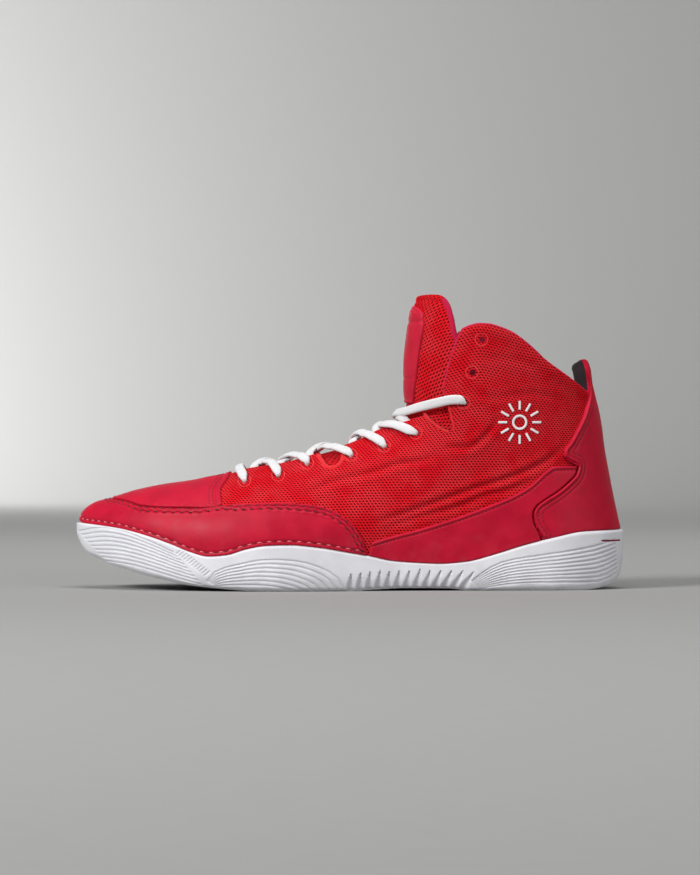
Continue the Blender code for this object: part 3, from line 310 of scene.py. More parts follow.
def path_through(points, spans=8):
    """A smooth dense line through the points."""
    points = np.asarray(points, float)
    travelled = travelled_on(points)
    at = np.concatenate([
        np.linspace(travelled[i], travelled[i + 1], spans, endpoint=False)
        for i in range(len(points) - 1)
    ] + [[travelled[-1]]])
    return np.column_stack([smooth_values(travelled, points[:, k], at) for k in range(points.shape[1])])


def spread(path, shares):
    """Points of a path at shares of its length."""
    travelled = travelled_on(path)
    return between(np.asarray(shares) * travelled[-1], travelled, path)


def outline(x, inset=0.0):
    """Centre and squared half-width of the sole's outline moved in by inset, open at the heel."""
    share = (x + LENGTH / 2 - inset) / (LENGTH - 2 * inset)
    centre = from_table(SOLE_PLAN, share) * BALL_WIDTH
    half = from_table(SOLE_PLAN, share, 2) * BALL_WIDTH
    rounded = half**2 * (1 - (1 - np.minimum(share / TOE_ROUNDING, 1.0)) ** 2)
    width = np.sqrt(np.maximum(rounded, 0.0))
    shrink = 1 - inset / np.maximum(width, BALL_WIDTH / 8)
    return centre, rounded * shrink**2


def underside(x):
    return from_table(UNDERSIDE, along_of(x)) * COLLAR_HEIGHT


def rim(x):
    return from_table(RIM, along_of(x)) * COLLAR_HEIGHT


def cup_floor(x):
    return from_table(CUP_FLOOR, along_of(x)) * COLLAR_HEIGHT


def heel_back(z):
    return (from_table(HEEL_BACK, z / COLLAR_HEIGHT) - 0.5) * LENGTH


RIDGE_PATH = path_through(
    np.column_stack((side_view(RIDGE), np.array(RIDGE)[:, 2])), spans=6
)
RIDGE_LINE = RIDGE_PATH[:, :2]


def ridge_distance(x, z):
    """Signed distance inside the ridge line, and how square the nearest section is."""
    start, end = RIDGE_LINE[:-1], RIDGE_LINE[1:]
    run = end - start
    place = np.stack((x, z), axis=-1)[..., None, :] - start
    share = np.clip((place * run).sum(-1) / (run**2).sum(-1), 0.0, 1.0)
    away = place - share[..., None] * run
    distance = np.sqrt((away**2).sum(-1))
    nearest = distance.argmin(-1)
    pick = nearest[..., None]
    turn = run[..., 0] * place[..., 1] - run[..., 1] * place[..., 0]
    inside = np.take_along_axis(turn, pick, -1)[..., 0] < 0
    reach = np.take_along_axis(distance, pick, -1)[..., 0]
    at = np.take_along_axis(share, pick, -1)[..., 0]
    square = RIDGE_PATH[nearest, 2] * (1 - at) + RIDGE_PATH[nearest + 1, 2] * at
    return np.where(inside, reach, -reach), square


def ridge_index(along):
    """Number of the first point of the ridge line that lies so far along."""
    return int(np.argmax(RIDGE_LINE[:, 0] >= (along - 0.5) * LENGTH - 1e-6))


def ridge_height(x):
    """Height of the ridge over the foot, up to the corner at the ankle."""
    corner = ridge_index(ANKLE_CORNER)
    return np.interp(x, RIDGE_LINE[: corner + 1, 0], RIDGE_LINE[: corner + 1, 1])


def last_section(x, z):
    """Centre and squared half-width of the last, where the side view is at x, z."""
    x, z = np.broadcast_arrays(np.asarray(x, float), np.asarray(z, float))
    share, up = along_of(x), z / COLLAR_HEIGHT
    foot_centre, foot_squared = outline(x, LAST_INSET)
    to_shaft = ease(up, *BLEND_UP) * ease(share, *BLEND_ALONG)
    shaft_squared = (from_table(SHAFT_HALF_WIDTH, up) * BALL_WIDTH) ** 2
    squared = foot_squared * (1 - to_shaft) + shaft_squared * to_shaft
    centre = foot_centre * (1 - to_shaft)
    back_rounding = from_table(HEEL_BACK, up, 2) * LENGTH
    back = 1 - (1 - np.minimum((heel_back(z) - x) / back_rounding, 1.0)) ** 2
    # Down from the ridge over the foot, and in from the ridge round the ankle and shaft
    radial, square = ridge_distance(x, z)
    widest = from_table(WIDEST, share) * COLLAR_HEIGHT
    top = ridge_height(x)
    falling = np.maximum(top - widest, 1e-4)
    turned = ease(share, *RADIAL_ALONG)
    depth = (top - z) / falling * (1 - turned) + radial / SHAFT_ROUNDING * turned
    short = np.maximum(1 - depth, 0.0)
    crown = signed_power(1 - short**square, 2 / square)
    return centre, squared * back * crown


def ruled_grid(low, far, high, near, across, upward):
    """Grid of side-view points inside four edges that are given point by point."""
    u, v = across[:, None, None], upward[None, :, None]
    ruled = (1 - v) * low[:, None] + v * high[:, None] + (1 - u) * near[None] + u * far[None]
    corners = (
        (1 - u) * (1 - v) * low[0] + u * (1 - v) * low[-1]
        + (1 - u) * v * high[0] + u * v * high[-1]
    )
    return ruled - corners


def coons(bottom, right, top, left, across, upward):
    """Grid of side-view points inside four edges; across and upward are shares of the edges."""
    return ruled_grid(spread(bottom, across), spread(right, upward), spread(top, across),
                      spread(left, upward), across, upward)


def both_ends(count):
    """Shares that crowd together at both ends."""
    return (1 - np.cos(np.linspace(0.0, math.pi, count))) / 2


# Sizes of the fine forms
MM = 0.001
PLACES_AT_ONCE = 1500
SLOPE_STEP = LENGTH / 1500
WELD = 2e-6
SHARP_ANGLE = 50
OVERLAY_GAP = 0.1 * MM
RIM_STEPS = np.array((0.0, 0.10, 0.28, 0.5, 0.8, 1.15, 1.5, 1.9, 2.4, 3.0, 3.7, 4.5)) * MM
STITCH_PITCH = 2.1 * MM
RAND_PITCH = 4.8 * MM
RIM_PITCH = 5.2 * MM

# Where the knit's columns stand straight, and how its rows slant up away from KNIT_TURN:
# how steeply, up to what reach, and between which heights that sets in
STEADY_ALONG = 0.75
KNIT_TURN = 0.735
KNIT_RISE = 0.50
KNIT_REACH = 32 * MM
KNIT_SLANT_FROM = (55 * MM, 115 * MM)
# How near to its free edges the upper shows its trim, outside and inside
UPPER_TRIM = (1.1 * MM, 3 * MM)

# Rings round the eyelets; the two empty eyelets on the inner side sit a little further forward
EYELET_RING = 3.3 * MM
RING_POINTS = 64
EMPTY_SHIFT = -1.6 * MM
EMPTY_HALF_WIDTH = 26 * MM
# How far a rolled border is pushed out of its notch, its half width and its half height
FLEX_BINDING = (1.2 * MM, 1.5 * MM, 1.55 * MM)
ANKLE_BINDING = (0.7 * MM, 0.85 * MM, 1.4 * MM)

CREASES = (
    # along and up of the points of each fold in the knit, then its depth
    (((0.41, 0.35), (0.481, 0.413), (0.548, 0.444), (0.584, 0.47), (0.644, 0.492),
    (0.662, 0.534)), 0.8),
    (((0.662, 0.534), (0.71, 0.533), (0.75, 0.588), (0.77, 0.66)), 0.7),
    (((0.528, 0.242), (0.596, 0.286), (0.675, 0.343), (0.71, 0.369), (0.816, 0.444), (0.869, 0.506),
    (0.901, 0.587)), 0.9),
    (((0.551, 0.207), (0.565, 0.231), (0.644, 0.287), (0.705, 0.321), (0.742, 0.355), (0.79, 0.378),
    (0.842, 0.438)), 0.7),
    (((0.33, 0.33), (0.36, 0.4), (0.372, 0.47)), 0.5),
    (((0.69, 0.93), (0.735, 0.87), (0.8, 0.86), (0.86, 0.8)), 0.4),
    (((0.7, 0.76), (0.76, 0.72), (0.83, 0.735), (0.9, 0.69)), 0.4),
)
CREASE_WIDTH = 1.5 * MM

TOE_FAN = (
    ((0.006, 0.216), (0.048, 0.232), (0.083, 0.224), (0.137, 0.188), (0.185, 0.144)),
    ((0.06, 0.108), (0.11, 0.094), (0.163, 0.066), (0.208, 0.04), (0.235, 0.027)),
)
FORE_FAN = (
    ((0.247, 0.04), (0.259, 0.072), (0.305, 0.101), (0.356, 0.119), (0.406, 0.113), (0.45, 0.087),
    (0.485, 0.04), (0.492, 0.013)),
    ((0.262, 0.02), (0.28, 0.024), (0.315, 0.025), (0.345, 0.024), (0.365, 0.02), (0.385, 0.012),
    (0.4, 0.004), (0.407, -0.002)),
)
HEEL_FAN = (
    ((0.721, 0.038), (0.745, 0.075), (0.776, 0.107), (0.81, 0.121), (0.844, 0.131), (0.89, 0.145),
    (0.935, 0.16), (0.982, 0.187)),
    ((0.735, 0.006), (0.755, 0.016), (0.799, 0.027), (0.833, 0.03), (0.867, 0.031), (0.91, 0.031),
    (0.953, 0.032), (0.985, 0.064)),
)
RIB_FANS = ((TOE_FAN, 9), (FORE_FAN, 7), (HEEL_FAN, 9))
SLIT = ((0.9570, 0.1835), (0.9930, 0.1835))
LUG_PLACES = (0.38, 0.43, 0.48, 0.77, 0.83, 0.89)
SOLE_RINGS = 610
WALL_POINTS = 58
# How far up its height, and how much of SOLE_TUCK the side of the sole is drawn in
WALL_TUCK = ((0.0, 1.0), (0.10, 0.30), (0.40, 0.0), (1.0, 0.22))
# Half-width and depth of each kind of groove in the side
RIB_GROOVE = (0.52 * MM, 0.50 * MM)
TICK_GROOVE = (0.48 * MM, 0.5 * MM)
TOOTH_GROOVE = (2.2 * MM, 1.15 * MM)
SLIT_GROOVE = (0.45 * MM, 0.9 * MM)
# Ticks run from TICK_START by TICK_RUN, and each one rises by TICK_LEAN
TICKS = 12
TICK_START = (0.192, 0.140)
TICK_RUN = (0.050, -0.080)
TICK_LEAN = (0.008, 0.014)
TEETH = 13
TEETH_START = 0.502
TEETH_PITCH = 0.0166

# How far the rows of stitches and their troughs lie from the edges of the overlays
LOWER_STITCH = 2.0 * MM
RAND_ROWS = (1.6 * MM, 3.7 * MM)
VAMP_STEP = 3.8 * MM
VAMP_ROWS = (4.4 * MM, 6.3 * MM)
QUARTER_ROW = 2.2 * MM
COUNTER_ROWS = (2.3 * MM, 4.4 * MM)
RAND_BARE = 0.300
VAMP_OVER_SEAM = 1.0 * MM
VAMP_TUCK = 0.4 * MM
TAB_PADDING = 6.2 * MM
# The lowest pin hole at the front, the steps to the next one along and up, and half-sizes
PIN_HOLES = 24
PIN_COLUMNS = 4
PIN_START = (0.921, 0.548)
PIN_STEP = (0.0065, 0.0135)
PIN_OVAL = (0.34 * MM, 0.16 * MM)

# The tongue's trim: how near to the edge, and above what height; then where its cap begins
TONGUE_TRIM = 2.6 * MM
TRIM_FROM = 0.090
CAP_FROM = 0.1432

# The ring of dashes at the ankle: where, from and to what radius in millimetres, and the circle
PRINT_PLACE = (0.8057, 0.6282)
PRINT_DASHES = 12
PRINT_RADII = (6.6, 11.2)
PRINT_CIRCLE = 3.4 * MM
PRINT_LIFT = 0.30 * MM
PRINT_LINE = (10, 0.60 * MM, 0.16 * MM, 0.5)

LACE_BODY = 2.3 * MM
LACE_SPAN = 5.0 * MM
LACE_LIFT = 0.25 * MM + LACE_BODY / 2
LACE_AROUND = 16
UNDER_FLAP = -(UPPER_WALL + 0.65 * MM)
FLAT = 1.0 * MM
BAR_LEAN = 2.6 * MM
EYELET_STATIONS = (
    # height over the last, width and thickness of the lace where it goes up through an eyelet
    (UNDER_FLAP + 0.1 * MM, 3.0 * MM, 1.3 * MM),
    (-UPPER_WALL / 2, 2.3 * MM, 2.1 * MM),
    (0.75 * MM, 3.0 * MM, 1.9 * MM),
)

CAMERA_PLACE = (0.0004, -2.0, 0.080)
CAMERA_LENS = 155.0
ROOM_RADIUS = 2.7
ROOM_BEND = 1.0
ROOM_HEIGHT = 4.5
# Depths between which the paper turns from its darker floor tone to its lighter wall tone; the change is
# painted light and shade, not a second paper
FLOOR_TO_WALL = (-0.3, 1.1)
LIGHTS = (
    # name, place, target, size, power
    ("left_window", (-1.3, -1.3, 1.2), (0.0, 0.0, 0.06), 0.8, 40.0),
    ("top_soft", (0.1, -0.5, 1.7), (0.0, 0.0, 0.05), 1.2, 15.0),
    ("right_fill", (1.5, -1.2, 0.6), (0.0, 0.0, 0.06), 1.0, 8.0),
    ("wall_glow", (-1.15, 2.6, 0.75), (-0.45, 3.3, 0.2), 0.55, 20.0),
)


# Numbers on grids

def last_frame(x, z):
    """The last's centre and squared half-width, with their slopes along and up, in slices."""
    x, z = np.broadcast_arrays(np.asarray(x, float), np.asarray(z, float))
    flat_x, flat_z = x.ravel(), z.ravel()
    step = SLOPE_STEP
    slices = []
    for start in range(0, flat_x.size, PLACES_AT_ONCE):
        a = flat_x[start:start + PLACES_AT_ONCE]
        b = flat_z[start:start + PLACES_AT_ONCE]
        here = last_section(a, b)
        ahead, behind = last_section(a + step, b), last_section(a - step, b)
        above, below = last_section(a, b + step), last_section(a, b - step)
        slices.append(np.array([
            here[0], here[1],
            (ahead[0] - behind[0]) / (2 * step), (ahead[1] - behind[1]) / (2 * step),
            (above[0] - below[0]) / (2 * step), (above[1] - below[1]) / (2 * step),
        ]))
    return np.concatenate(slices, axis=1).reshape(6, *x.shape)


def unit(vectors):
    return vectors / np.maximum(np.linalg.norm(vectors, axis=-1, keepdims=True), 1e-12)


class Patch:
    """Side-view places laid on the last, on one side or joined over the ridge or the heel."""

    def __init__(self, grid, meet=None, on_ridge=None):
        self.x = grid[..., 0]
        self.z = grid[..., 1]
        self.meet = meet
        flat = np.zeros(self.x.shape, bool) if on_ridge is None else on_ridge.copy()
        if meet:
            flat[0 if meet == "first" else -1] = True
        centre, squared, centre_x, squared_x, centre_z, squared_z = last_frame(self.x, self.z)
        half = np.where(flat, 0.0, np.sqrt(np.maximum(squared, 0.0)))
        self.bases = {}
        for side in SIDES:
            normal = unit(np.stack((
                -(squared_x + 2 * side * half * centre_x),
                2 * side * half,
                -(squared_z + 2 * side * half * centre_z),
            ), axis=-1))
            point = np.stack((self.x, centre + side * half, self.z), axis=-1)
            self.bases[side] = point, normal

    def at(self, side, offset):
        point, normal = self.bases[side]
        return point + np.broadcast_to(offset, self.x.shape)[..., None] * normal

    def joined(self, lateral, medial):
        if self.meet == "first":
            return np.concatenate((lateral[::-1], medial[1:]))
        return np.concatenate((lateral, medial[::-1][1:]))

    def layer(self, offset):
        return self.joined(self.at(LATERAL, offset), self.at(MEDIAL, offset))

    def field(self, values):
        """A value of each place, for both joined sides."""
        return self.joined(values, values)


def nearest_on(points, line):
    """Distance of each point from a line, and how far along it the nearest place is."""
    line = np.asarray(line, float)
    start, run = line[:-1], np.diff(line, axis=0)
    squares = np.maximum((run**2).sum(-1), 1e-18)
    travelled = np.concatenate(([0.0], np.cumsum(np.sqrt(squares))))
    flat = points.reshape(-1, points.shape[-1])
    distances, places = [], []
    for first in range(0, len(flat), PLACES_AT_ONCE):
        place = flat[first:first + PLACES_AT_ONCE, None] - start
        share = np.clip((place * run).sum(-1) / squares, 0.0, 1.0)
        away = ((place - share[..., None] * run) ** 2).sum(-1)
        pick = away.argmin(-1)
        rows = np.arange(len(pick))
        distances.append(np.sqrt(away[rows, pick]))
        places.append(travelled[pick] + share[rows, pick] * np.sqrt(squares[pick]))
    shape = points.shape[:-1]
    return np.concatenate(distances).reshape(shape), np.concatenate(places).reshape(shape)


def distance_to(points, line):
    return nearest_on(points, line)[0]


def edged_shares(length, step, low=True, high=True):
    """Shares of a rough length, about a step apart, that crowd together near its free ends."""
    start = RIM_STEPS if low else np.zeros(1)
    end = length - RIM_STEPS[::-1] if high else np.array([length])
    count = max(2, int(round((end[0] - start[-1]) / step)) + 1)
    middle = np.linspace(start[-1], end[0], count)
    return np.unique(np.concatenate((start, middle, end))) / length


def evenly(line, step):
    """The line again, with points about a step apart."""
    return spread(line, np.linspace(0.0, 1.0, max(2, int(round(length_of(line) / step)) + 1)))


def rounded(distance, thickness, radius):
    """Thickness that rises from 0 at an edge in a quarter round."""
    t = np.clip(distance / radius, 0.0, 1.0)
    return thickness * np.sqrt(1 - (1 - t) ** 2)


def bump(distance, place, width):
    return np.exp(-(((distance - place) / width) ** 2))


def uneven(points, size, seed=0.0):
    """Soft noise from -1 to 1 at each point, with lumps of about a size."""
    flat = points.reshape(-1, 3) / size + seed
    return np.array([noise.noise(Vector(place)) for place in flat]).reshape(points.shape[:-1])


def cloth_chart():
    """How far along and up the surface each side-view place lies, measured on the surface."""
    xs = np.linspace(-LENGTH / 2, LENGTH / 2, 260)
    zs = np.linspace(0.01, COLLAR_HEIGHT * 1.13, 170)
    x, z = np.meshgrid(xs, zs, indexing="ij")
    squared = np.concatenate([last_section(x[i], z[i])[1][None] for i in range(len(xs))])
    half = np.sqrt(np.maximum(squared, 0.0))
    along = np.cumsum(np.hypot(np.diff(x, axis=0), np.diff(half, axis=0)), axis=0)
    along = np.pad(along, ((1, 0), (0, 0)))
    along -= along[int(STEADY_ALONG * len(xs))]
    up = np.cumsum(np.hypot(np.diff(z, axis=1), np.diff(half, axis=1)), axis=1)
    up = np.pad(up, ((0, 0), (1, 0)))
    from_turn = x - (KNIT_TURN - 0.5) * LENGTH
    turned = KNIT_REACH * (1 - np.exp(-np.hypot(from_turn, 6 * MM) / KNIT_REACH))
    up += KNIT_RISE * turned * ease(z, *KNIT_SLANT_FROM)
    return xs, zs, along, up


CLOTH_CHART = cloth_chart()


def cloth_places(points):
    """Fabric coordinates, in metres, of points on or near the last."""
    xs, zs, along, up = CLOTH_CHART
    a = np.clip((points[:, 0] - xs[0]) / (xs[1] - xs[0]), 0, len(xs) - 1.001)
    b = np.clip((points[:, 2] - zs[0]) / (zs[1] - zs[0]), 0, len(zs) - 1.001)
    i, j = a.astype(int), b.astype(int)
    s, t = a - i, b - j
    found = [
        (1 - s) * (1 - t) * chart[i, j] + s * (1 - t) * chart[i + 1, j]
        + (1 - s) * t * chart[i, j + 1] + s * t * chart[i + 1, j + 1]
        for chart in (along, up)
    ]
    return np.stack((found[0], found[1], np.zeros(len(points))), axis=-1)


# Meshes

def quads_of(numbers):
    """Quads between the neighbours of a grid of point numbers."""
    return np.stack((
        numbers[:-1, :-1], numbers[1:, :-1], numbers[1:, 1:], numbers[:-1, 1:],
    ), axis=-1).reshape(-1, 4)


def strip_of(first, second):
    return quads_of(np.stack((first, second), axis=-1))


def set_vectors(mesh, name, values):
    layer = mesh.attributes.new(name, "FLOAT_VECTOR", "POINT")
    layer.data.foreach_set("vector", np.asarray(values, np.float32).ravel())


def mend(mesh, weld=WELD):
    """Joins points that meet, and turns the faces outwards."""
    build = bmesh.new()
    build.from_mesh(mesh)
    if weld:
        bmesh.ops.remove_doubles(build, verts=build.verts, dist=weld)
        bmesh.ops.dissolve_degenerate(build, edges=build.edges, dist=weld)
    bmesh.ops.recalc_face_normals(build, faces=build.faces)
    if build.calc_volume(signed=True) < 0:
        bmesh.ops.reverse_faces(build, faces=build.faces)
    build.to_mesh(mesh)
    build.free()


def smooth_over(mesh):
    mesh.shade_smooth()
    mesh.set_sharp_from_angle(angle=math.radians(SHARP_ANGLE))


def make_piece(name, points, faces, finishes, picks=None, weld=WELD, cloth=None):
    """An object from points and faces, closed and turned outwards, with a finish for each face."""
    mesh = bpy.data.meshes.new(name)
    faces = faces.tolist() if isinstance(faces, np.ndarray) else faces
    mesh.from_pydata(points.tolist(), [], faces)
    for finish in finishes:
        mesh.materials.append(finish)
    if picks is not None:
        mesh.polygons.foreach_set("material_index", np.asarray(picks, np.int32))
    if cloth is not None:
        set_vectors(mesh, "cloth", cloth)
    mend(mesh, weld)
    smooth_over(mesh)
    piece = bpy.data.objects.new(name, mesh)
    bpy.context.scene.collection.objects.link(piece)
    return piece


def ride(piece, slot, *nodes):
    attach(piece, "root")
    if nodes:
        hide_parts(*nodes)
    return piece


def lay_cloth(piece):
    """Gives the points of a piece their fabric coordinates on the last."""
    vertices = piece.data.vertices
    found = np.empty(len(vertices) * 3, np.float32)
    vertices.foreach_get("co", found)
    set_vectors(piece.data, "cloth", cloth_places(found.reshape(-1, 3).astype(float)))


def shell_faces(columns, rows, joined_rows=0):
    """Faces of a thin wall, and 0 for each outer face, 1 for inner and 2 for rim."""
    outer = np.arange(columns * rows).reshape(columns, rows)
    inner = outer + columns * rows
    parts = [(quads_of(outer), 0), (quads_of(inner)[:, ::-1], 1)]
    parts += [(strip_of(outer[:, j], inner[:, j]), 2) for j in (0, rows - 1)]
    parts += [(strip_of(outer[i, joined_rows:], inner[i, joined_rows:]), 2) for i in (0, columns - 1)]
    faces = np.concatenate([part[0] for part in parts])
    kinds = np.concatenate([np.full(len(part[0]), part[1]) for part in parts])
    return faces, kinds


def shell_piece(name, outer, inner, finishes, pick=None, joined_rows=0, cloth=None):
    """A wall between two grids; pick gives each face its finish from its kind and its middle."""
    faces, kinds = shell_faces(*outer.shape[:2], joined_rows)
    points = np.concatenate((outer.reshape(-1, 3), inner.reshape(-1, 3)))
    picks = pick(kinds, points[faces].mean(axis=1), faces) if pick else np.zeros(len(faces), int)
    both = None if cloth is None else np.concatenate((cloth.reshape(-1, 3),) * 2)
    return make_piece(name, points, faces, finishes, picks, cloth=both)


def grid_cloth(points, middle):
    """Fabric coordinates of a grid: across from its middle column, and up along that column."""
    steps = np.linalg.norm(np.diff(points, axis=0), axis=-1)
    across = np.pad(np.cumsum(steps, axis=0), ((1, 0), (0, 0)))
    across -= across[middle]
    steps = np.linalg.norm(np.diff(points[middle], axis=0), axis=-1)
    up = np.concatenate(([0.0], np.cumsum(steps)))
    return np.stack((across, np.broadcast_to(up, across.shape), np.zeros(across.shape)), axis=-1)


def frames_along(points, normals, loop=False):
    """Sideways and upward vectors of a path, from the surface's normals."""
    around = np.roll(points, -1, axis=0) - np.roll(points, 1, axis=0)
    tangents = unit(around if loop else np.gradient(points, axis=0))
    sides = unit(np.cross(tangents, normals))
    return sides, np.cross(sides, tangents)


def oval(around, half_width, half_height, power=0.7):
    angles = 2 * math.pi * (np.arange(around) + 0.5) / around
    return np.stack((
        signed_power(np.cos(angles), power) * half_width, np.sin(angles) * half_height,
    ), axis=-1)


def swept(points, sides, lifts, section, loop=False):
    """Points and faces of a section carried along a path; the section may change along it."""
    section = np.broadcast_to(section, (len(points), *section.shape[-2:]))
    rings = points[:, None] + section[..., :1] * sides[:, None] + section[..., 1:] * lifts[:, None]
    count, around = rings.shape[:2]
    numbers = np.arange(count * around).reshape(count, around)
    numbers = np.concatenate((numbers, numbers[:, :1]), axis=1)
    if loop:
        numbers = np.concatenate((numbers, numbers[:1]))
    faces = quads_of(numbers).tolist()
    if not loop:
        faces += [tuple(range(around))[::-1], tuple(range((count - 1) * around, count * around))]
    return rings.reshape(-1, 3), faces


class Heap:
    """Many small closed forms gathered into one mesh."""

    def __init__(self):
        self.points, self.faces, self.count = [], [], 0

    def add(self, points, faces):
        self.faces += [tuple(number + self.count for number in face) for face in faces]
        self.points.append(points)
        self.count += len(points)

    def piece(self, name, finishes):
        return make_piece(name, np.concatenate(self.points), self.faces, finishes, weld=0)


def on_last(line, side, offset=0.0):
    """Points and normals of a side-view line laid on one side of the last."""
    patch = Patch(np.asarray(line)[:, None])
    points = patch.at(side, np.broadcast_to(offset, (len(line),))[:, None])[:, 0]
    return points, patch.bases[side][1][:, 0]


def level_line(field, level, points, normals, along_columns):
    """Points and normals where a field first reaches a level, inwards from the edge where it is 0."""
    if not along_columns:
        field, points, normals = field.T, points.transpose(1, 0, 2), normals.transpose(1, 0, 2)
    if field[0].mean() > field[-1].mean():
        field, points, normals = field[::-1], points[::-1], normals[::-1]
    found, facing = [], []
    for j in range(field.shape[1]):
        reached = np.nonzero(field[:, j] >= level)[0]
        if not len(reached) or reached[0] == 0:
            continue
        i = reached[0]
        t = (level - field[i - 1, j]) / (field[i, j] - field[i - 1, j])
        found.append(points[i - 1, j] * (1 - t) + points[i, j] * t)
        facing.append(normals[i - 1, j] * (1 - t) + normals[i, j] * t)
    return np.array(found), np.array(facing)


def stitched(heap, patch, sides, height, field, level, along_columns, **sizes):
    """Thread along the places of an outer surface that lie at one distance from an edge."""
    for side in sides:
        outside, facing = patch.at(side, height), patch.bases[side][1]
        points, normals = level_line(field, level, outside, facing, along_columns)
        add_stitches(heap, points, normals, **sizes)


def add_stitches(heap, points, normals, pitch=STITCH_PITCH, length=0.62, radius=0.24 * MM, shift=0.5):
    """Stitches along a line; length and shift are shares of the pitch."""
    travelled = travelled_on(points)
    sections = np.array((0.35, 1.0, 1.0, 0.35))[:, None, None] * oval(6, radius, radius, 1.0)
    for start in np.arange(pitch * shift, travelled[-1] - pitch / 2, pitch):
        at = start + np.array((-0.5, -0.2, 0.2, 0.5)) * pitch * length
        place = between(at, travelled, points)
        facing = between(at, travelled, normals)
        place = place + facing * radius * np.array((-0.7, 0.35, 0.35, -0.7))[:, None]
        heap.add(*swept(place, *frames_along(place, facing), sections))


# Stitches of each colour, gathered while the overlays are made
THREADS = {}


# Finishes

class Wires:
    """Short ways to place and join nodes in one tree."""

    def __init__(self, tree):
        self.tree = tree

    def node(self, kind, **settings):
        node = self.tree.nodes.new(kind)
        for name, value in settings.items():
            setattr(node, name, value)
        return node

    def put(self, socket, value):
        if isinstance(value, bpy.types.NodeSocket):
            self.tree.links.new(value, socket)
        else:
            socket.default_value = value

    def math(self, operation, first, second=0.0, third=0.0):
        node = self.node("ShaderNodeMath", operation=operation)
        for socket, value in zip(node.inputs, (first, second, third)):
            self.put(socket, value)
        return node.outputs[0]

    def step(self, value, low, high, start=0.0, end=1.0):
        """Smoothly from start at low to end at high."""
        node = self.node("ShaderNodeMapRange", interpolation_type="SMOOTHSTEP")
        for socket, number in zip(node.inputs, (value, low, high, start, end)):
            self.put(socket, number)
        return node.outputs[0]

    def mix(self, factor, first, second, blend="MIX"):
        node = self.node("ShaderNodeMix", data_type="RGBA", blend_type=blend)
        self.put(node.inputs[0], factor)
        self.put(node.inputs[6], first)
        self.put(node.inputs[7], second)
        return node.outputs[2]

    def split(self, vector):
        node = self.node("ShaderNodeSeparateXYZ")
        self.put(node.inputs[0], vector)
        return node.outputs

    def cloud(self, vector, scale, detail=2.0):
        node = self.node("ShaderNodeTexNoise")
        self.put(node.inputs["Vector"], vector)
        self.put(node.inputs["Scale"], scale)
        self.put(node.inputs["Detail"], detail)
        return node.outputs[0]

    def place(self, group, **values):
        node = self.node("ShaderNodeGroup", node_tree=group)
        for name, value in values.items():
            self.put(node.inputs[name.replace("_", " ")], value)
        return node.outputs


def new_group(name, inputs, outputs):
    """A node group with named sockets; it gives the wires, its inputs and its outputs."""
    tree = bpy.data.node_groups.new(name, "ShaderNodeTree")
    for label, kind, value in inputs:
        socket = tree.interface.new_socket(label, in_out="INPUT", socket_type=kind)
        if value is not None:
            socket.default_value = value
    for label in outputs:
        tree.interface.new_socket(label, in_out="OUTPUT", socket_type="NodeSocketFloat")
    wires = Wires(tree)
    return tree, wires, wires.node("NodeGroupInput").outputs, wires.node("NodeGroupOutput").inputs


def knit_group():
    """Staggered rows of holes between slanted yarns."""
    tree, w, given, out = new_group("open knit", (
        ("Cloth", "NodeSocketVector", None),
        ("Pitch Along", "NodeSocketFloat", 1.75 * MM),
        ("Pitch Up", "NodeSocketFloat", 1.2 * MM),
        ("Hole", "NodeSocketFloat", 0.5),
    ), ("Hole", "Height", "Strand"))
    wobble = w.cloud(given["Cloth"], 160.0, 1.0)
    x, y, _ = w.split(given["Cloth"])
    along = w.math("ADD", w.math("DIVIDE", x, given["Pitch Along"]), w.math("MULTIPLY", wobble, 0.5))
    up = w.math("ADD", w.math("DIVIDE", y, given["Pitch Up"]), w.math("MULTIPLY", wobble, 0.4))
    row = w.math("FLOOR", up)
    stagger = w.math("MULTIPLY", w.math("FLOORED_MODULO", row, 2.0), 0.5)
    cell_y = w.math("SUBTRACT", w.math("FRACT", up), 0.5)
    cell_x = w.math("SUBTRACT", w.math("FRACT", w.math("ADD", along, stagger)), 0.5)
    slanted = w.math("ADD", cell_x, w.math("MULTIPLY", cell_y, 0.5))
    away = w.math("SQRT", w.math("ADD", w.math("POWER", w.math("MULTIPLY", slanted, 2.0), 2.0),
                                 w.math("POWER", w.math("MULTIPLY", cell_y, 2.2), 2.0)))
    edge = w.math("DIVIDE", away, given["Hole"])
    hole = w.step(edge, 0.75, 1.3, 1.0, 0.0)
    # Strand rises and falls across the slanted yarns; the knit finish paints its highlights and shade by
    # it
    turn = w.math("MULTIPLY", w.math("ADD", w.math("MULTIPLY", along, 2.0), up), math.pi * 2)
    strand = w.math("MULTIPLY_ADD", w.math("SINE", turn), 0.5, 0.5)
    height = w.math("MULTIPLY", w.math("SUBTRACT", 1.0, hole), w.math("MULTIPLY_ADD", strand, 0.3, 0.7))
    w.put(out["Hole"], hole)
    w.put(out["Height"], height)
    w.put(out["Strand"], strand)
    return tree


def grain_group():
    """Fine pores over soft blotches, for smooth synthetic, rubber and foam."""
    tree, w, given, out = new_group("grain", (
        ("Place", "NodeSocketVector", None),
        ("Scale", "NodeSocketFloat", 1800.0),
    ), ("Height", "Tone"))
    fine = w.cloud(given["Place"], given["Scale"], 3.0)
    pores = w.node("ShaderNodeTexVoronoi", feature="F1")
    w.put(pores.inputs["Vector"], given["Place"])
    w.put(pores.inputs["Scale"], given["Scale"])
    w.put(out["Height"], w.math("MULTIPLY_ADD", fine, 0.6, w.math("MULTIPLY", pores.outputs[0], 0.4)))
    w.put(out["Tone"], w.cloud(given["Place"], 90.0, 4.0))
    return tree


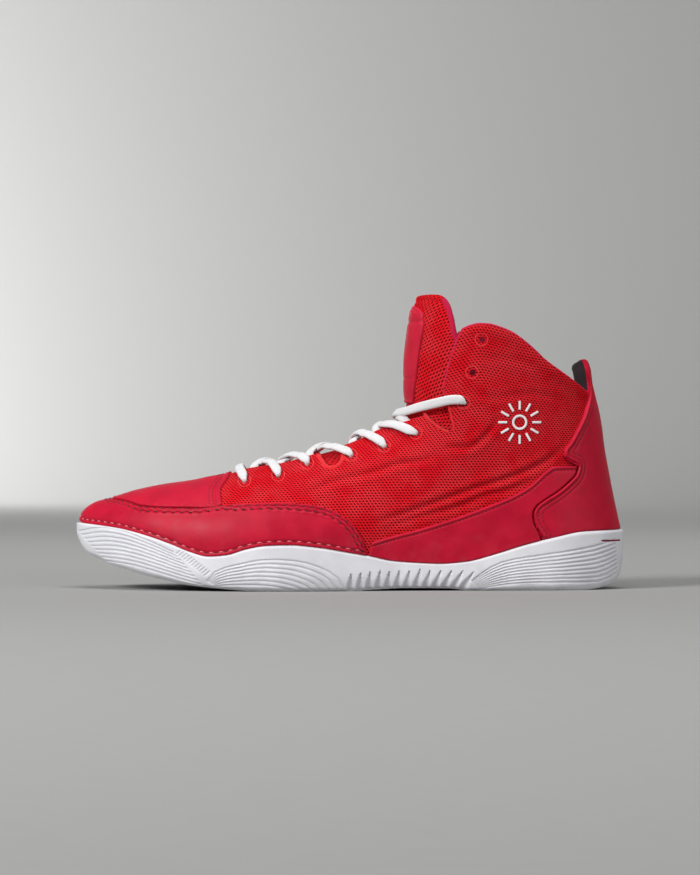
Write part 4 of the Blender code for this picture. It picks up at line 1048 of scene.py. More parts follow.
def weave_group():
    """Yarns that pass over and under each other."""
    tree, w, given, out = new_group("plain weave", (
        ("Cloth", "NodeSocketVector", None),
        ("Pitch", "NodeSocketFloat", 0.6 * MM),
        ("Slant", "NodeSocketFloat", 1.0),
    ), ("Height", "Tone"))
    x, y, _ = w.split(given["Cloth"])
    x = w.math("DIVIDE", w.math("ABSOLUTE", x), given["Pitch"])
    y = w.math("DIVIDE", y, given["Pitch"])
    y = w.math("ADD", y, w.math("MULTIPLY", x, given["Slant"]))
    over = w.math("MULTIPLY", w.math("SINE", w.math("MULTIPLY", x, math.pi)),
                  w.math("SINE", w.math("MULTIPLY", y, math.pi * 2)))
    w.put(out["Height"], w.math("MULTIPLY_ADD", over, 0.5, 0.5))
    w.put(out["Tone"], w.cloud(given["Cloth"], 700.0, 3.0))
    return tree


def dust_group():
    """Greyer towards the floor, in patches."""
    tree, w, given, out = new_group("dust", (
        ("Place", "NodeSocketVector", None),
        ("Reach", "NodeSocketFloat", 20 * MM),
    ), ("Low Grey",))
    _, _, z = w.split(given["Place"])
    low = w.math("SUBTRACT", 1.0, w.step(z, 0.0, given["Reach"]))
    patches = w.step(w.cloud(given["Place"], 130.0, 5.0), 0.42, 0.68)
    w.put(out["Low Grey"], w.math("MULTIPLY", low, patches))
    return tree


GROUPS = {}


def make_groups():
    GROUPS.update(knit=knit_group(), grain=grain_group(), weave=weave_group(), dust=dust_group())


def new_finish(name, roughness, specular=0.4, sheen=0.0):
    """A material with its shader and the places on the object; its uniform values are set here."""
    material = bpy.data.materials.new(name)
    material.use_nodes = True
    shader = material.node_tree.nodes["Principled BSDF"]
    shader.inputs["Roughness"].default_value = roughness
    shader.inputs["Specular IOR Level"].default_value = specular
    shader.inputs["Sheen Weight"].default_value = sheen
    shader.inputs["Sheen Roughness"].default_value = 0.5
    wires = Wires(material.node_tree)
    place = wires.node("ShaderNodeTexCoord").outputs["Object"]
    return material, shader, wires, place


def cloth_of(wires):
    return wires.node("ShaderNodeAttribute", attribute_name="cloth").outputs["Vector"]


def raise_bump(wires, shader, height, strength, distance):
    node = wires.node("ShaderNodeBump")
    node.inputs["Strength"].default_value = strength
    node.inputs["Distance"].default_value = distance
    wires.put(node.inputs["Height"], height)
    wires.put(shader.inputs["Normal"], node.outputs[0])


def shade(colour, factor):
    return (colour[0] * factor, colour[1] * factor, colour[2] * factor, 1.0)


def knit_finish(name, yarn, dark, along, up, hole):
    material, shader, w, place = new_finish(name, 0.85, 0.06)
    cloth = cloth_of(w)
    knit = w.place(GROUPS["knit"], Cloth=cloth, Pitch_Along=along, Pitch_Up=up, Hole=hole)
    tone = w.place(GROUPS["grain"], Place=place, Scale=2600.0)
    # Bright tops and darker sides of the yarns follow Strand: painted highlight and painted shade on the
    # knit
    bright = (0.95, yarn[1] + 0.035, yarn[2] + 0.040, 1.0)
    lit = w.mix(w.step(knit["Strand"], 0.1, 0.9), shade(yarn, 0.58), bright)
    lit = w.mix(w.step(tone["Tone"], 0.35, 0.68), lit, shade(yarn, 0.94))
    # The holes take the near-black second colour: painted shade seen through the open knit
    w.put(shader.inputs["Base Color"], w.mix(knit["Hole"], lit, (*dark, 1.0)))
    height = w.math("MULTIPLY_ADD", tone["Height"], 0.15, knit["Height"])
    raise_bump(w, shader, height, 0.9, 0.35 * MM)
    return material


def smooth_finish(name, colour, roughness=0.46, dusty=True):
    material, shader, w, place = new_finish(name, roughness, 0.16)
    grain = w.place(GROUPS["grain"], Place=place, Scale=1500.0)
    body = w.mix(w.step(grain["Tone"], 0.3, 0.7), shade(colour, 0.90), shade(colour, 1.08))
    body = w.mix(w.math("MULTIPLY", w.step(grain["Height"], 0.45, 0.75), 0.25), body, shade(colour, 1.3))
    if dusty:
        # A little greyer near the floor, in patches
        dust = w.place(GROUPS["dust"], Place=place, Reach=46 * MM)
        body = w.mix(w.math("MULTIPLY", dust["Low Grey"], 0.05), body, (0.42, 0.30, 0.30, 1.0))
    w.put(shader.inputs["Base Color"], body)
    w.put(shader.inputs["Roughness"], w.step(grain["Tone"], 0.3, 0.7, roughness - 0.05, roughness + 0.08))
    raise_bump(w, shader, grain["Height"], 0.28, 0.12 * MM)
    return material


def woven_finish(name, colour, pitch, roughness=0.85, slant=1.0, dark=0.72):
    material, shader, w, _ = new_finish(name, roughness, 0.15, sheen=0.08)
    weave = w.place(GROUPS["weave"], Cloth=cloth_of(w), Pitch=pitch, Slant=slant)
    # The low places of the weave get the darker colour: painted shade between the yarns
    body = w.mix(w.step(weave["Height"], 0.1, 0.75), shade(colour, dark), shade(colour, 1.0))
    body = w.mix(w.math("MULTIPLY", w.step(weave["Tone"], 0.4, 0.7), 0.4), body, shade(colour, 0.86))
    w.put(shader.inputs["Base Color"], body)
    raise_bump(w, shader, weave["Height"], 0.8, pitch * 0.35)
    return material


def rubber_finish():
    material, shader, w, place = new_finish("sole_foam", 0.58, 0.4)
    grain = w.place(GROUPS["grain"], Place=place, Scale=1300.0)
    # Greyer near the floor, in patches
    dust = w.place(GROUPS["dust"], Place=place, Reach=20 * MM)
    groove_shade = w.node("ShaderNodeAttribute", attribute_name="groove_shade").outputs["Fac"]
    white = w.mix(w.step(grain["Tone"], 0.3, 0.7), (0.66, 0.66, 0.70, 1.0), (0.72, 0.72, 0.75, 1.0))
    # The grooves in the side are painted darker blue-grey by their depth: painted shade in the recesses
    body = w.mix(w.math("MULTIPLY", groove_shade, 0.42), white, (0.40, 0.40, 0.45, 1.0))
    body = w.mix(w.math("MULTIPLY", dust["Low Grey"], 0.30), body, (0.46, 0.43, 0.41, 1.0))
    w.put(shader.inputs["Base Color"], body)
    w.put(shader.inputs["Roughness"], w.step(grain["Tone"], 0.3, 0.7, 0.5, 0.68))
    raise_bump(w, shader, grain["Height"], 0.22, 0.15 * MM)
    return material


def thread_finish(name, colour):
    material, shader, w, place = new_finish(name, 0.7, 0.3, sheen=0.2)
    grain = w.place(GROUPS["grain"], Place=place, Scale=5200.0)
    w.put(shader.inputs["Base Color"],
          w.mix(w.step(grain["Height"], 0.3, 0.7), shade(colour, 0.75), shade(colour, 1.15)))
    raise_bump(w, shader, grain["Height"], 0.5, 0.1 * MM)
    return material


FINISH = {}


def make_finishes():
    # The second colour of each knit is the painted shade in its holes
    FINISH["knit"] = knit_finish("knit", (0.70, 0.006, 0.014), (0.08, 0.001, 0.003),
                                 1.85 * MM, 1.4 * MM, 0.58)
    FINISH["tongue knit"] = knit_finish("tongue_knit", (0.70, 0.007, 0.014), (0.06, 0.001, 0.003),
                                        2.1 * MM, 1.7 * MM, 0.58)
    FINISH["smooth"] = smooth_finish("smooth_crimson", (0.47, 0.005, 0.027))
    FINISH["label"] = smooth_finish("label_crimson", (0.50, 0.012, 0.035), dusty=False)
    FINISH["cap"] = smooth_finish("tongue_cap", (0.74, 0.014, 0.020), 0.6, dusty=False)
    FINISH["binding"] = thread_finish("bright_binding", (0.66, 0.005, 0.010))
    FINISH["ring"] = thread_finish("ring_thread", (0.74, 0.028, 0.036))
    # The dark thread also gives the painted shade of the counter's pin holes
    FINISH["thread"] = thread_finish("dark_thread_and_hole_shade", (0.12, 0.002, 0.008))
    FINISH["pale thread"] = thread_finish("pale_thread", (0.75, 0.16, 0.20))
    # In the woven finishes, dark sets how deep the painted shade between the yarns goes
    FINISH["trim"] = woven_finish("pink_trim", (0.60, 0.008, 0.060), 0.7 * MM)
    FINISH["lining"] = woven_finish("lining", (0.30, 0.008, 0.03), 0.8 * MM)
    FINISH["tab"] = woven_finish("tab_lining", (0.045, 0.030, 0.034), 0.7 * MM, dark=0.5)
    FINISH["lace"] = woven_finish("white_lace", (0.82, 0.82, 0.83), 0.75 * MM, 0.8, dark=0.78)
    FINISH["rubber"] = rubber_finish()
    FINISH["foam"] = smooth_finish("insole_foam", (0.22, 0.008, 0.02), 0.8, dusty=False)
    FINISH["print"] = smooth_finish("white_print", (0.78, 0.76, 0.77), 0.5, dusty=False)


# The sole

def sole_edge(x):
    """Centre and half-width of the sole at many places along it."""
    centre, squared = outline(x)
    heel = 1 - (1 - np.minimum((LENGTH / 2 - x) / (HEEL_ROUNDING * LENGTH), 1.0)) ** 2
    return centre, np.sqrt(np.maximum(squared * heel, 0.0))


def last_rings(shares, height, offset):
    """The last's lateral and medial points at shares of its length, on a height over x."""
    toe_x = LAST_INSET - LENGTH / 2
    back = float(heel_back(height(LENGTH / 2)))
    z = height(toe_x + shares * (back - toe_x))
    x = toe_x + shares * (heel_back(z) - toe_x)
    at_end = (shares <= 0.0) | (shares >= 1.0)
    patch = Patch(np.stack((x, z), axis=-1)[:, None], on_ridge=at_end[:, None])
    return [patch.at(side, offset)[:, 0] for side in SIDES]


def fan_lines(fan, count):
    """Grooves spread evenly between the first and the last line of a fan."""
    first, last = (evenly(path_through(side_view(line)), 4 * MM) for line in fan)
    shares = np.linspace(0.0, 1.0, 14)
    first, last = spread(first, shares), spread(last, shares)
    return [first * (1 - w) + last * w for w in np.linspace(0.0, 1.0, count)]


def side_marks():
    """Each groove in the side of the sole: line, half-width, depth, and how much it narrows upwards."""
    marks = [(line, *RIB_GROOVE, 0.0) for fan, count in RIB_FANS for line in fan_lines(fan, count)]
    for share in np.linspace(0.0, 1.0, TICKS):
        low = np.array(TICK_START) + share * np.array(TICK_RUN)
        marks.append((side_view((low, low + TICK_LEAN)), *TICK_GROOVE, 0.0))
    for k in range(TEETH):
        along = TEETH_START + TEETH_PITCH * k
        lean = 0.002 + 0.024 * (k / TEETH) ** 2
        high = (along + lean, 0.070 + 0.012 * math.sin(k * math.pi / TEETH))
        marks.append((side_view(((along, 0.002), high)), *TOOTH_GROOVE, 1.0))
    marks.append((side_view(SLIT), *SLIT_GROOVE, 0.0))
    return marks


def groove_depth(places):
    """Depth of the grooves at side-view places."""
    depth = np.zeros(places.shape[:-1])
    for line, width, deepest, narrows in side_marks():
        low, high = line.min(axis=0) - 2 * width, line.max(axis=0) + 2 * width
        near = ((places >= low) & (places <= high)).all(axis=-1)
        if not near.any():
            continue
        away, travelled = nearest_on(places[near], line)
        narrowing = narrows * np.minimum(travelled / length_of(line), 0.97) ** 1.6
        profile = np.clip(1 - (away / (width * (1 - narrowing))) ** 2, 0.0, 1.0) ** 0.8
        depth[near] = np.maximum(depth[near], deepest * profile)
    return depth


def lug_height(x, y):
    """How high the underside is cut over the floor: wide lug grooves with fine ones between."""
    top = np.zeros_like(x)
    for place in LUG_PLACES:
        away = np.abs(x - (place - 0.5) * LENGTH)
        wall = ease(away, LUG_GROOVE_WIDTH / 2 + 0.25 * MM, LUG_GROOVE_WIDTH / 2 - 0.35 * MM)
        top = np.maximum(top, LUG_GROOVE_DEPTH * wall)
    wave = x / (4.8 * MM) + np.abs(((y / (9 * MM)) % 1.0) - 0.5) * 1.6
    fine = ease(np.abs((wave % 1.0) - 0.5), 0.20, 0.05)
    return np.maximum(top, 0.45 * MM * fine)


def make_sole():
    """A cup with ribbed sides, one section at each station along the foot."""
    shares = 0.6 * np.linspace(0.0, 1.0, SOLE_RINGS) + 0.4 * both_ends(SOLE_RINGS)
    x = (shares - 0.5) * LENGTH
    centre, half = sole_edge(x)
    low, high = underside(x), rim(x)
    rims = last_rings(shares, rim, CUP_CLEARANCE)
    floors = last_rings(shares, cup_floor, CUP_CLEARANCE)
    tuck = np.minimum(SOLE_TUCK, half * 0.35)
    ups = np.concatenate((np.linspace(0.0, 0.06, 4)[:-1], np.linspace(0.06, 1.0, WALL_POINTS - 3)))
    inward = from_table(WALL_TUCK, ups)
    sides = {}
    for side, rim_points, floor_points in zip(SIDES, rims, floors):
        y = centre[:, None] + side * (half[:, None] - inward * tuck[:, None])
        z = low[:, None] + ups * (high - low)[:, None]
        tangent = np.gradient(np.stack((x, centre + side * half), axis=-1), axis=0)
        out = unit(np.stack((-side * tangent[:, 1], side * tangent[:, 0]), axis=-1))
        places = np.stack((np.broadcast_to(x[:, None], z.shape), z), axis=-1)
        fade = ease(ups, 0.0, 0.06) * ease(ups, 1.0, 0.96)
        depth = groove_depth(places) * fade
        lip = 0.9 * MM * np.clip((ups - 0.95) / 0.05, 0.0, 1.0) ** 2
        shift = depth + lip
        wall = np.stack((
            places[..., 0] - shift * out[:, None, 0], y - shift * out[:, None, 1], z,
        ), axis=-1)
        top = wall[:, -1:]
        crest = top * 0.5 + rim_points[:, None] * 0.5
        crest[..., 2] += 0.25 * MM
        bend = rim_points[:, None] * 0.5 + floor_points[:, None] * 0.5
        # The last value is each groove's depth as a share, kept for the painted shade in the grooves
        sides[side] = wall, crest, rim_points[:, None], bend, floor_points[:, None], depth / (0.7 * MM)
    across = np.linspace(0.0, 1.0, 11)[1:-1]
    halves = []
    for side in SIDES:
        start = sides[side][0][:, 0]
        flat_y = centre[:, None] * (1 - across) + start[:, None, 1] * across
        flat_x = np.broadcast_to(x[:, None], flat_y.shape) * (1 - across) + start[:, None, 0] * across
        cut = lug_height(flat_x, flat_y) * ease(across, 1.0, 0.8)
        flat_z = np.maximum(np.broadcast_to(low[:, None], flat_y.shape), cut)
        halves.append(np.stack((flat_x, flat_y, flat_z), axis=-1))
    spine_z = np.maximum(low, lug_height(x, centre))
    spine = np.stack((x, centre, spine_z), axis=-1)[:, None]
    floor_middle = (floors[0] + floors[1])[:, None] / 2
    lateral, medial = sides[LATERAL], sides[MEDIAL]
    parts = [spine, halves[0], *lateral[:5], floor_middle]
    parts += [part[:, ::-1] for part in medial[:5][::-1]] + [halves[1][:, ::-1]]
    rings = np.concatenate(parts, axis=1)
    # How dark each point is painted by the depth of its groove: painted shade
    marks = [np.zeros((len(x), part.shape[1])) for part in parts]
    marks[2] = lateral[5]
    marks[-2] = medial[5][:, ::-1]
    groove_shade = np.concatenate(marks, axis=1)
    count = rings.shape[1]
    numbers = np.arange(len(x) * count).reshape(len(x), count)
    faces = quads_of(np.concatenate((numbers, numbers[:, :1]), axis=1))
    piece = make_piece("cup_sole", rings.reshape(-1, 3), faces, [FINISH["rubber"]], weld=0)
    layer = piece.data.attributes.new("groove_shade", "FLOAT", "POINT")
    layer.data.foreach_set("value", np.clip(groove_shade, 0, 1).ravel().astype(np.float32))
    mend(piece.data)
    return ride(piece, "rubber", "outsole")


def make_insole():
    inset = UPPER_WALL + INSOLE_CLEARANCE
    shares = both_ends(90)
    across = np.linspace(0.0, 1.0, 41)[:, None]
    layers = []
    for lift in (CLEARANCE + INSOLE_THICKNESS, CLEARANCE):
        lateral, medial = last_rings(shares, lambda x: cup_floor(x) + lift, -inset)
        layers.append(lateral[:, None] * (1 - across) + medial[:, None] * across)
    edge = np.minimum(across[:, 0], 1 - across[:, 0])
    layers[0][..., 2] += 1.2 * MM * bump(edge, 0.0, 0.12) - 0.5 * MM * ease(edge, 0.0, 0.08) - 0.6 * MM
    piece = shell_piece("insole_bed", layers[0], layers[1], [FINISH["foam"]])
    return ride(piece, "foam", "insole")


# The upper

def upper_grid():
    """Side-view grid of the upper, and the row where the throat begins."""
    toe_x = LAST_INSET - LENGTH / 2
    start = np.array(((toe_x, float(cup_floor(toe_x)) + CUP_CLEARANCE),))
    toe = np.concatenate((start, RIDGE_LINE[: ridge_index(THROAT_START) + 1]))
    throat = path_through(side_view(THROAT_EDGE))
    throat_row = 36
    ups = np.linspace(cup_floor(LENGTH / 2) + CUP_CLEARANCE, COLLAR[-1][1] * COLLAR_HEIGHT, 40)
    back = np.column_stack((heel_back(ups), ups))
    xs = np.linspace(toe_x, back[0, 0], 60)
    bottom = np.column_stack((xs, cup_floor(xs) + CUP_CLEARANCE))
    collar = path_through(side_view(COLLAR))
    across = edged_shares(0.19, 1.35 * MM, high=False)
    rising = edged_shares(0.085, 1.2 * MM, low=False)
    upward = np.concatenate((
        np.linspace(0.0, 0.40, throat_row, endpoint=False), 0.40 + 0.60 * rising,
    ))
    left = np.concatenate((
        spread(toe, np.linspace(0.0, 1.0, throat_row, endpoint=False)), spread(throat, rising),
    ))
    bottom[0], bottom[-1] = left[0], back[0]
    collar[0], collar[-1] = left[-1], back[-1]
    low, high = spread(bottom, across), spread(collar, across)
    return ruled_grid(low, spread(back, upward), high, left, across, upward), throat_row


def crease_relief(grid):
    """Soft troughs with low ridges beside them, where the knit folds."""
    relief = np.zeros(grid.shape[:2])
    for line, depth in CREASES:
        path = path_through(side_view(line))
        away, travelled = nearest_on(grid, path)
        length = length_of(path)
        ends = ease(travelled, 0.0, length * 0.2) * ease(travelled, length, length * 0.75)
        trough = bump(away, 0.0, CREASE_WIDTH)
        ridges = bump(away, 2.3 * CREASE_WIDTH, 1.3 * CREASE_WIDTH)
        relief += depth * MM * (0.5 * ridges - trough) * ends
    return relief


def prism_points(line, slant=0.0):
    """A prism across the foot; a slant moves it along as it goes in from the outer side."""
    flat = np.asarray(line)
    count = len(flat)
    points = [
        (x + slant * (side * BALL_WIDTH + EMPTY_HALF_WIDTH), side * BALL_WIDTH, z)
        for side in SIDES for x, z in flat
    ]
    faces = [tuple(range(count)), tuple(range(2 * count - 1, count - 1, -1))]
    faces += [(i, (i + 1) % count, count + (i + 1) % count, count + i) for i in range(count)]
    return np.array(points), faces


def eyelet_circle(place, radius, around):
    x, z = side_view([place])[0]
    angles = 2 * math.pi * np.arange(around) / around
    return np.column_stack((x + radius * np.cos(angles), z + radius * np.sin(angles)))


def cut_out(piece, cuts):
    """Cuts holes right through the piece: each has an outline in the side view, and a slant."""
    for number, (line, slant) in enumerate(cuts):
        points, faces = prism_points(line, slant)
        cutter = make_piece(f"cutter_{number}", points, faces, [])
        modifier = piece.modifiers.new("cut", "BOOLEAN")
        modifier.operation = "DIFFERENCE"
        modifier.solver = "MANIFOLD"
        modifier.object = cutter
        graph = bpy.context.evaluated_depsgraph_get()
        cut = bpy.data.meshes.new_from_object(piece.evaluated_get(graph))
        piece.modifiers.clear()
        piece.data = cut
        bpy.data.objects.remove(cutter, do_unlink=True)
    smooth_over(piece.data)


def make_upper():
    grid, throat_row = upper_grid()
    columns, rows = grid.shape[:2]
    on_ridge = np.zeros((columns, rows), bool)
    on_ridge[0, : throat_row + 1] = True
    patch = Patch(grid, "last", on_ridge)
    base = patch.at(LATERAL, 0.0)
    border = np.concatenate((base[0, throat_row:], base[:, -1]))
    away = distance_to(base, border)
    wall = UPPER_WALL / 2
    thick = rounded(away, wall, 1.3 * MM)
    relief = crease_relief(grid) + 0.03 * MM * uneven(base, 16 * MM)
    relief *= ease(away, 0.0, 4 * MM)
    collar_away = distance_to(base, base[:, -1])
    padding = 0.5 * MM * bump(collar_away, 3.5 * MM, 2.5 * MM)
    outer = patch.layer(-wall + thick + relief + padding)
    inner = patch.layer(-wall - thick + 0.4 * relief - padding)
    near_edge = patch.field(np.where(grid[..., 1] > 0.68 * COLLAR_HEIGHT, away, 1.0)).reshape(-1)

    def pick(kinds, middles, faces):
        edge = near_edge[faces[:, 0] % near_edge.size]
        return np.where(edge < np.where(kinds == 0, *UPPER_TRIM), 2, kinds)

    finishes = [FINISH["knit"], FINISH["lining"], FINISH["trim"]]
    piece = shell_piece("knitted_upper", outer, inner, finishes, pick, throat_row)
    cuts = [(side_view(ANKLE_NOTCH), 0.0), (side_view(FLEX_NOTCH), 0.0)]
    for row, place in enumerate(EYELETS):
        slant = EMPTY_SHIFT / (2 * EMPTY_HALF_WIDTH) if row >= LACED_ROWS else 0.0
        cuts.append((eyelet_circle(place, EYELET_DIAMETER * 0.42, 20), slant))
    cut_out(piece, cuts)
    lay_cloth(piece)
    return ride(piece, "mesh", "upper")


def binding(heap, line, push, half_width, half_height):
    """A rolled border on both sides, along the edge that a notch leaves in the throat."""
    line = evenly(path_through(side_view(line)), 0.6 * MM)
    tangent = unit(np.gradient(line, axis=0))
    line = line + push * np.column_stack((tangent[:, 1], -tangent[:, 0]))
    ends = np.minimum(np.arange(len(line)), np.arange(len(line))[::-1])
    grow = np.sqrt(np.clip(ends / 3.0, 0.1, 1.0))[:, None, None]
    for side in SIDES:
        points, normals = on_last(line, side, -UPPER_WALL / 2 + 0.1 * MM)
        section = oval(14, half_width, half_height, 0.75) * grow
        heap.add(*swept(points, *frames_along(points, normals), section))


def make_notch_bindings():
    heap = Heap()
    binding(heap, ((0.4440, 0.519),) + FLEX_NOTCH[1:7] + ((0.4870, 0.535),), *FLEX_BINDING)
    for line in (ANKLE_NOTCH[:5], ANKLE_NOTCH[4:9]):
        binding(heap, line, *ANKLE_BINDING)
    return ride(heap.piece("notch_binding", [FINISH["binding"]]), "mesh")


def make_eyelet_rings():
    """A beaded ring of thread round each eyelet."""
    heap = Heap()
    beads = 0.5 + 0.5 * np.cos(np.arange(RING_POINTS) * math.pi / 1.6)
    section = oval(8, 0.26 * MM, 0.24 * MM, 1.0) * (0.80 + 0.35 * beads)[:, None, None]
    for row, place in enumerate(EYELETS):
        line = eyelet_circle(place, EYELET_RING, RING_POINTS)
        for side in SIDES:
            shift = EMPTY_SHIFT if side == MEDIAL and row >= LACED_ROWS else 0.0
            points, normals = on_last(line + (shift, 0.0), side, 0.05 * MM)
            frames = frames_along(points, normals, loop=True)
            heap.add(*swept(points, *frames, section, loop=True))
    return ride(heap.piece("eyelet_rings", [FINISH["ring"]]), "mesh")


# Overlays

def overlay(name, patch, side, base, border, relief, thickness, node, rounding=0.8 * MM, share=1.0):
    """A smooth panel over the knit, round at its free edges; gives the height of its outside."""
    away = distance_to(base, border)
    height = OVERLAY_GAP + share * rounded(away, OVERLAY_CLEARANCE + thickness - OVERLAY_GAP, rounding)
    height = height + relief * ease(away, 0.0, 0.7 * MM)
    if patch.meet:
        outer, inner = patch.layer(height), patch.layer(OVERLAY_GAP)
    else:
        outer, inner = patch.at(side, height), patch.at(side, OVERLAY_GAP)
    piece = shell_piece(name, outer, inner, [FINISH["smooth"]])
    ride(piece, "smooth", node)
    return height


def rim_line(start, end, count=80):
    """The line just above the rim of the cup, where an overlay ends."""
    xs = np.linspace((start - 0.5) * LENGTH, (end - 0.5) * LENGTH, count)
    return np.column_stack((xs, rim(xs) + 0.2 * MM))


def rand_edges():
    stop = ridge_index(RAND_TOP[0][0])
    left = RIDGE_LINE[2: stop + 1]
    top = path_through(side_view(RAND_TOP))
    top[0] = left[-1]
    bottom = rim_line(float(along_of(left[0, 0])), RAND_REAR)
    bottom[0] = left[0]
    right = np.array((bottom[-1], top[-1]))
    return bottom, right, top, left


def make_rand():
    """The toe rand, with a puckered band between two lines of stitches along its top."""
    bottom, right, top, left = rand_edges()
    across = edged_shares(0.150, 0.8 * MM, low=False)
    upward = edged_shares(0.026, 0.8 * MM)
    grid = coons(bottom, right, top, left, across**1.1, upward)
    patch = Patch(grid, "first")
    base = patch.at(LATERAL, 0.0)
    upper_edge, travelled = nearest_on(base, base[:, -1])
    lower_edge = distance_to(base, base[:, 0])
    by_vamp = ease(base[..., 0], (RAND_BARE - 0.5) * LENGTH, (VAMP_SEAM[-1][0] - 0.5) * LENGTH)
    from_seam = upper_edge + VAMP_OVER_SEAM * by_vamp
    pucker = np.cos(travelled * 2 * math.pi / RAND_PITCH)
    wavy = from_seam + 0.25 * MM * pucker
    calm = 0.35 + 0.65 * ease(travelled, 0.0, 16 * MM)
    upper_row, lower_row = RAND_ROWS
    relief = MM * (
        0.22 * bump(wavy, 0.8 * MM, 0.55 * MM) * calm
        + (0.32 + 0.20 * pucker) * bump(wavy, (upper_row + lower_row) / 2, 0.65 * MM) * calm
        + (0.22 + 0.14 * pucker) * bump(wavy, lower_row + 0.9 * MM, 0.7 * MM)
        - 0.55 * bump(wavy, upper_row, 0.36 * MM)
        - 0.60 * bump(wavy, lower_row, 0.36 * MM)
        - 0.50 * bump(lower_edge, LOWER_STITCH, 0.45 * MM)
    ) + 0.12 * MM * uneven(base, 12 * MM, 5.0)
    border = np.concatenate((base[:, 0], base[-1], base[::-1, -1]))
    height = overlay("rand_cover", patch, None, base, border, relief, OVERLAY_THICKNESS, "toe_rand",
                     rounding=0.5 * MM)
    for level in RAND_ROWS:
        stitched(THREADS["dark"], patch, SIDES, height, from_seam, level, False,
                 pitch=RAND_PITCH, length=0.60, radius=0.40 * MM)
    for colour, radius, shift in (("pale", 0.36 * MM, 0.5), ("dark", 0.32 * MM, 1.0)):
        stitched(THREADS[colour], patch, SIDES, height, lower_edge, LOWER_STITCH, False,
                 pitch=RIM_PITCH, length=0.46, radius=radius, shift=shift)
    for side in SIDES:
        bar_tack(patch, side, height)


def bar_tack(patch, side, height):
    """Close stitches where the two seams end at the sole."""
    points, normals = patch.at(side, height), patch.bases[side][1]
    low = points.shape[1] // 6
    for step in range(5):
        i = -8 - 2 * step
        line = points[i, low: low + 10]
        add_stitches(THREADS["dark"], line, normals[i, low: low + 10], 1.7 * MM, 0.8, 0.32 * MM)


def make_vamp():
    top = RIDGE_LINE[ridge_index(VAMP_SEAM[0][0]): ridge_index(VAMP_REAR[-1][0]) + 1]
    bottom = path_through(side_view(VAMP_SEAM)) - (0.0, VAMP_TUCK)
    right = path_through(side_view(VAMP_REAR))
    bottom[0] = top[0]
    right[0], right[-1] = bottom[-1], top[-1]
    left = np.array((top[0], top[0]))
    across = edged_shares(0.062, 0.7 * MM)
    down = edged_shares(0.040, 0.8 * MM, low=False)
    grid = coons(top, right[::-1], bottom, left, across**1.15, down**1.6).transpose(1, 0, 2)
    patch = Patch(grid, "first")
    base = patch.at(LATERAL, 0.0)
    rear = distance_to(base, base[:, -1])
    seam, travelled = nearest_on(base, base[-1])
    pucker = np.cos(travelled * 2 * math.pi / RAND_PITCH)
    relief = MM * (
        0.18 * ease(rear, 3.4 * MM, 2.8 * MM)
        - 0.35 * bump(rear, VAMP_STEP, 0.5 * MM)
        + 0.15 * pucker * bump(seam, 0.9 * MM, 0.8 * MM)
    ) + 0.15 * MM * uneven(base, 16 * MM, 9.0)
    border = np.concatenate((base[-1], base[::-1, -1]))
    height = overlay("vamp_cover", patch, None, base, border, relief, VAMP_THICKNESS, "vamp",
                     rounding=0.45 * MM, share=1 - 0.60 * ease(rear, 16 * MM, 1 * MM))
    for level in VAMP_ROWS:
        stitched(THREADS["dark"], patch, SIDES, height, rear, level, False,
                 pitch=2.2 * MM, length=0.35, radius=0.24 * MM)


def make_quarter_panel(name, side, node):
    top = path_through(side_view(QUARTER_TOP))
    counter = side_view([row for row in COUNTER_FRONT if row[1] <= QUARTER_TOP[-1][1]])
    right = path_through(counter) - (PANEL_GAP, 0.0)
    bottom = rim_line(QUARTER_FRONT, float(along_of(right[0, 0])))
    right[0] = bottom[-1]
    right[-1] = top[-1]
    left = np.array((bottom[0], top[0]))
    grid = coons(bottom, right, top, left, edged_shares(0.1, 0.9 * MM), edged_shares(0.036, 0.8 * MM))
    patch = Patch(grid)
    base = patch.at(side, 0.0)
    upper_edge = distance_to(base, base[:, -1])
    relief = MM * (
        0.22 * bump(upper_edge, 0.9 * MM, 0.6 * MM)
        - 0.40 * bump(upper_edge, QUARTER_ROW, 0.42 * MM)
    ) + 0.12 * MM * uneven(base, 13 * MM, 2.0)
    border = np.concatenate((base[:, 0], base[-1], base[::-1, -1], base[0]))
    height = overlay(name, patch, side, base, border, relief, OVERLAY_THICKNESS, node)
    stitched(THREADS["dark"], patch, (side,), height, upper_edge, QUARTER_ROW, False)


def heel_line(low, high, count=80):
    ups = np.linspace(low, high, count)
    return np.column_stack((heel_back(ups), ups))


def make_counter():
    """The heel counter and pull tab, rolled and double stitched along the front edge."""
    left = path_through(side_view(COUNTER_FRONT), 4)
    top = side_view(COUNTER_TOP)
    bottom = rim_line(float(along_of(left[0, 0])), HEEL_BACK[1][1])
    right = heel_line(bottom[-1, 1], top[-1, 1])
    bottom[0], bottom[-1], top[-1] = left[0], right[0], right[-1]
    across = edged_shares(0.052, 0.9 * MM, high=False)
    grid = coons(bottom, right, top, left, 1 - (1 - across) ** 1.5, edged_shares(0.105, 0.85 * MM))
    patch = Patch(grid, "last")
    base = patch.at(LATERAL, 0.0)
    front = distance_to(base, base[0])
    relief = MM * (
        0.45 * bump(front, 0.9 * MM, 0.65 * MM)
        - 0.42 * bump(front, COUNTER_ROWS[0], 0.42 * MM)
        - 0.32 * bump(front, COUNTER_ROWS[1], 0.40 * MM)
    ) + 0.15 * MM * uneven(base, 15 * MM, 3.0)
    border = np.concatenate((base[::-1, 0], base[0], base[:, -1]))
    height = overlay("counter_cover", patch, None, base, border, relief, OVERLAY_THICKNESS, "heel_counter")
    for level in COUNTER_ROWS:
        stitched(THREADS["dark"], patch, SIDES, height, front, level, True)
    perforations(patch, height)


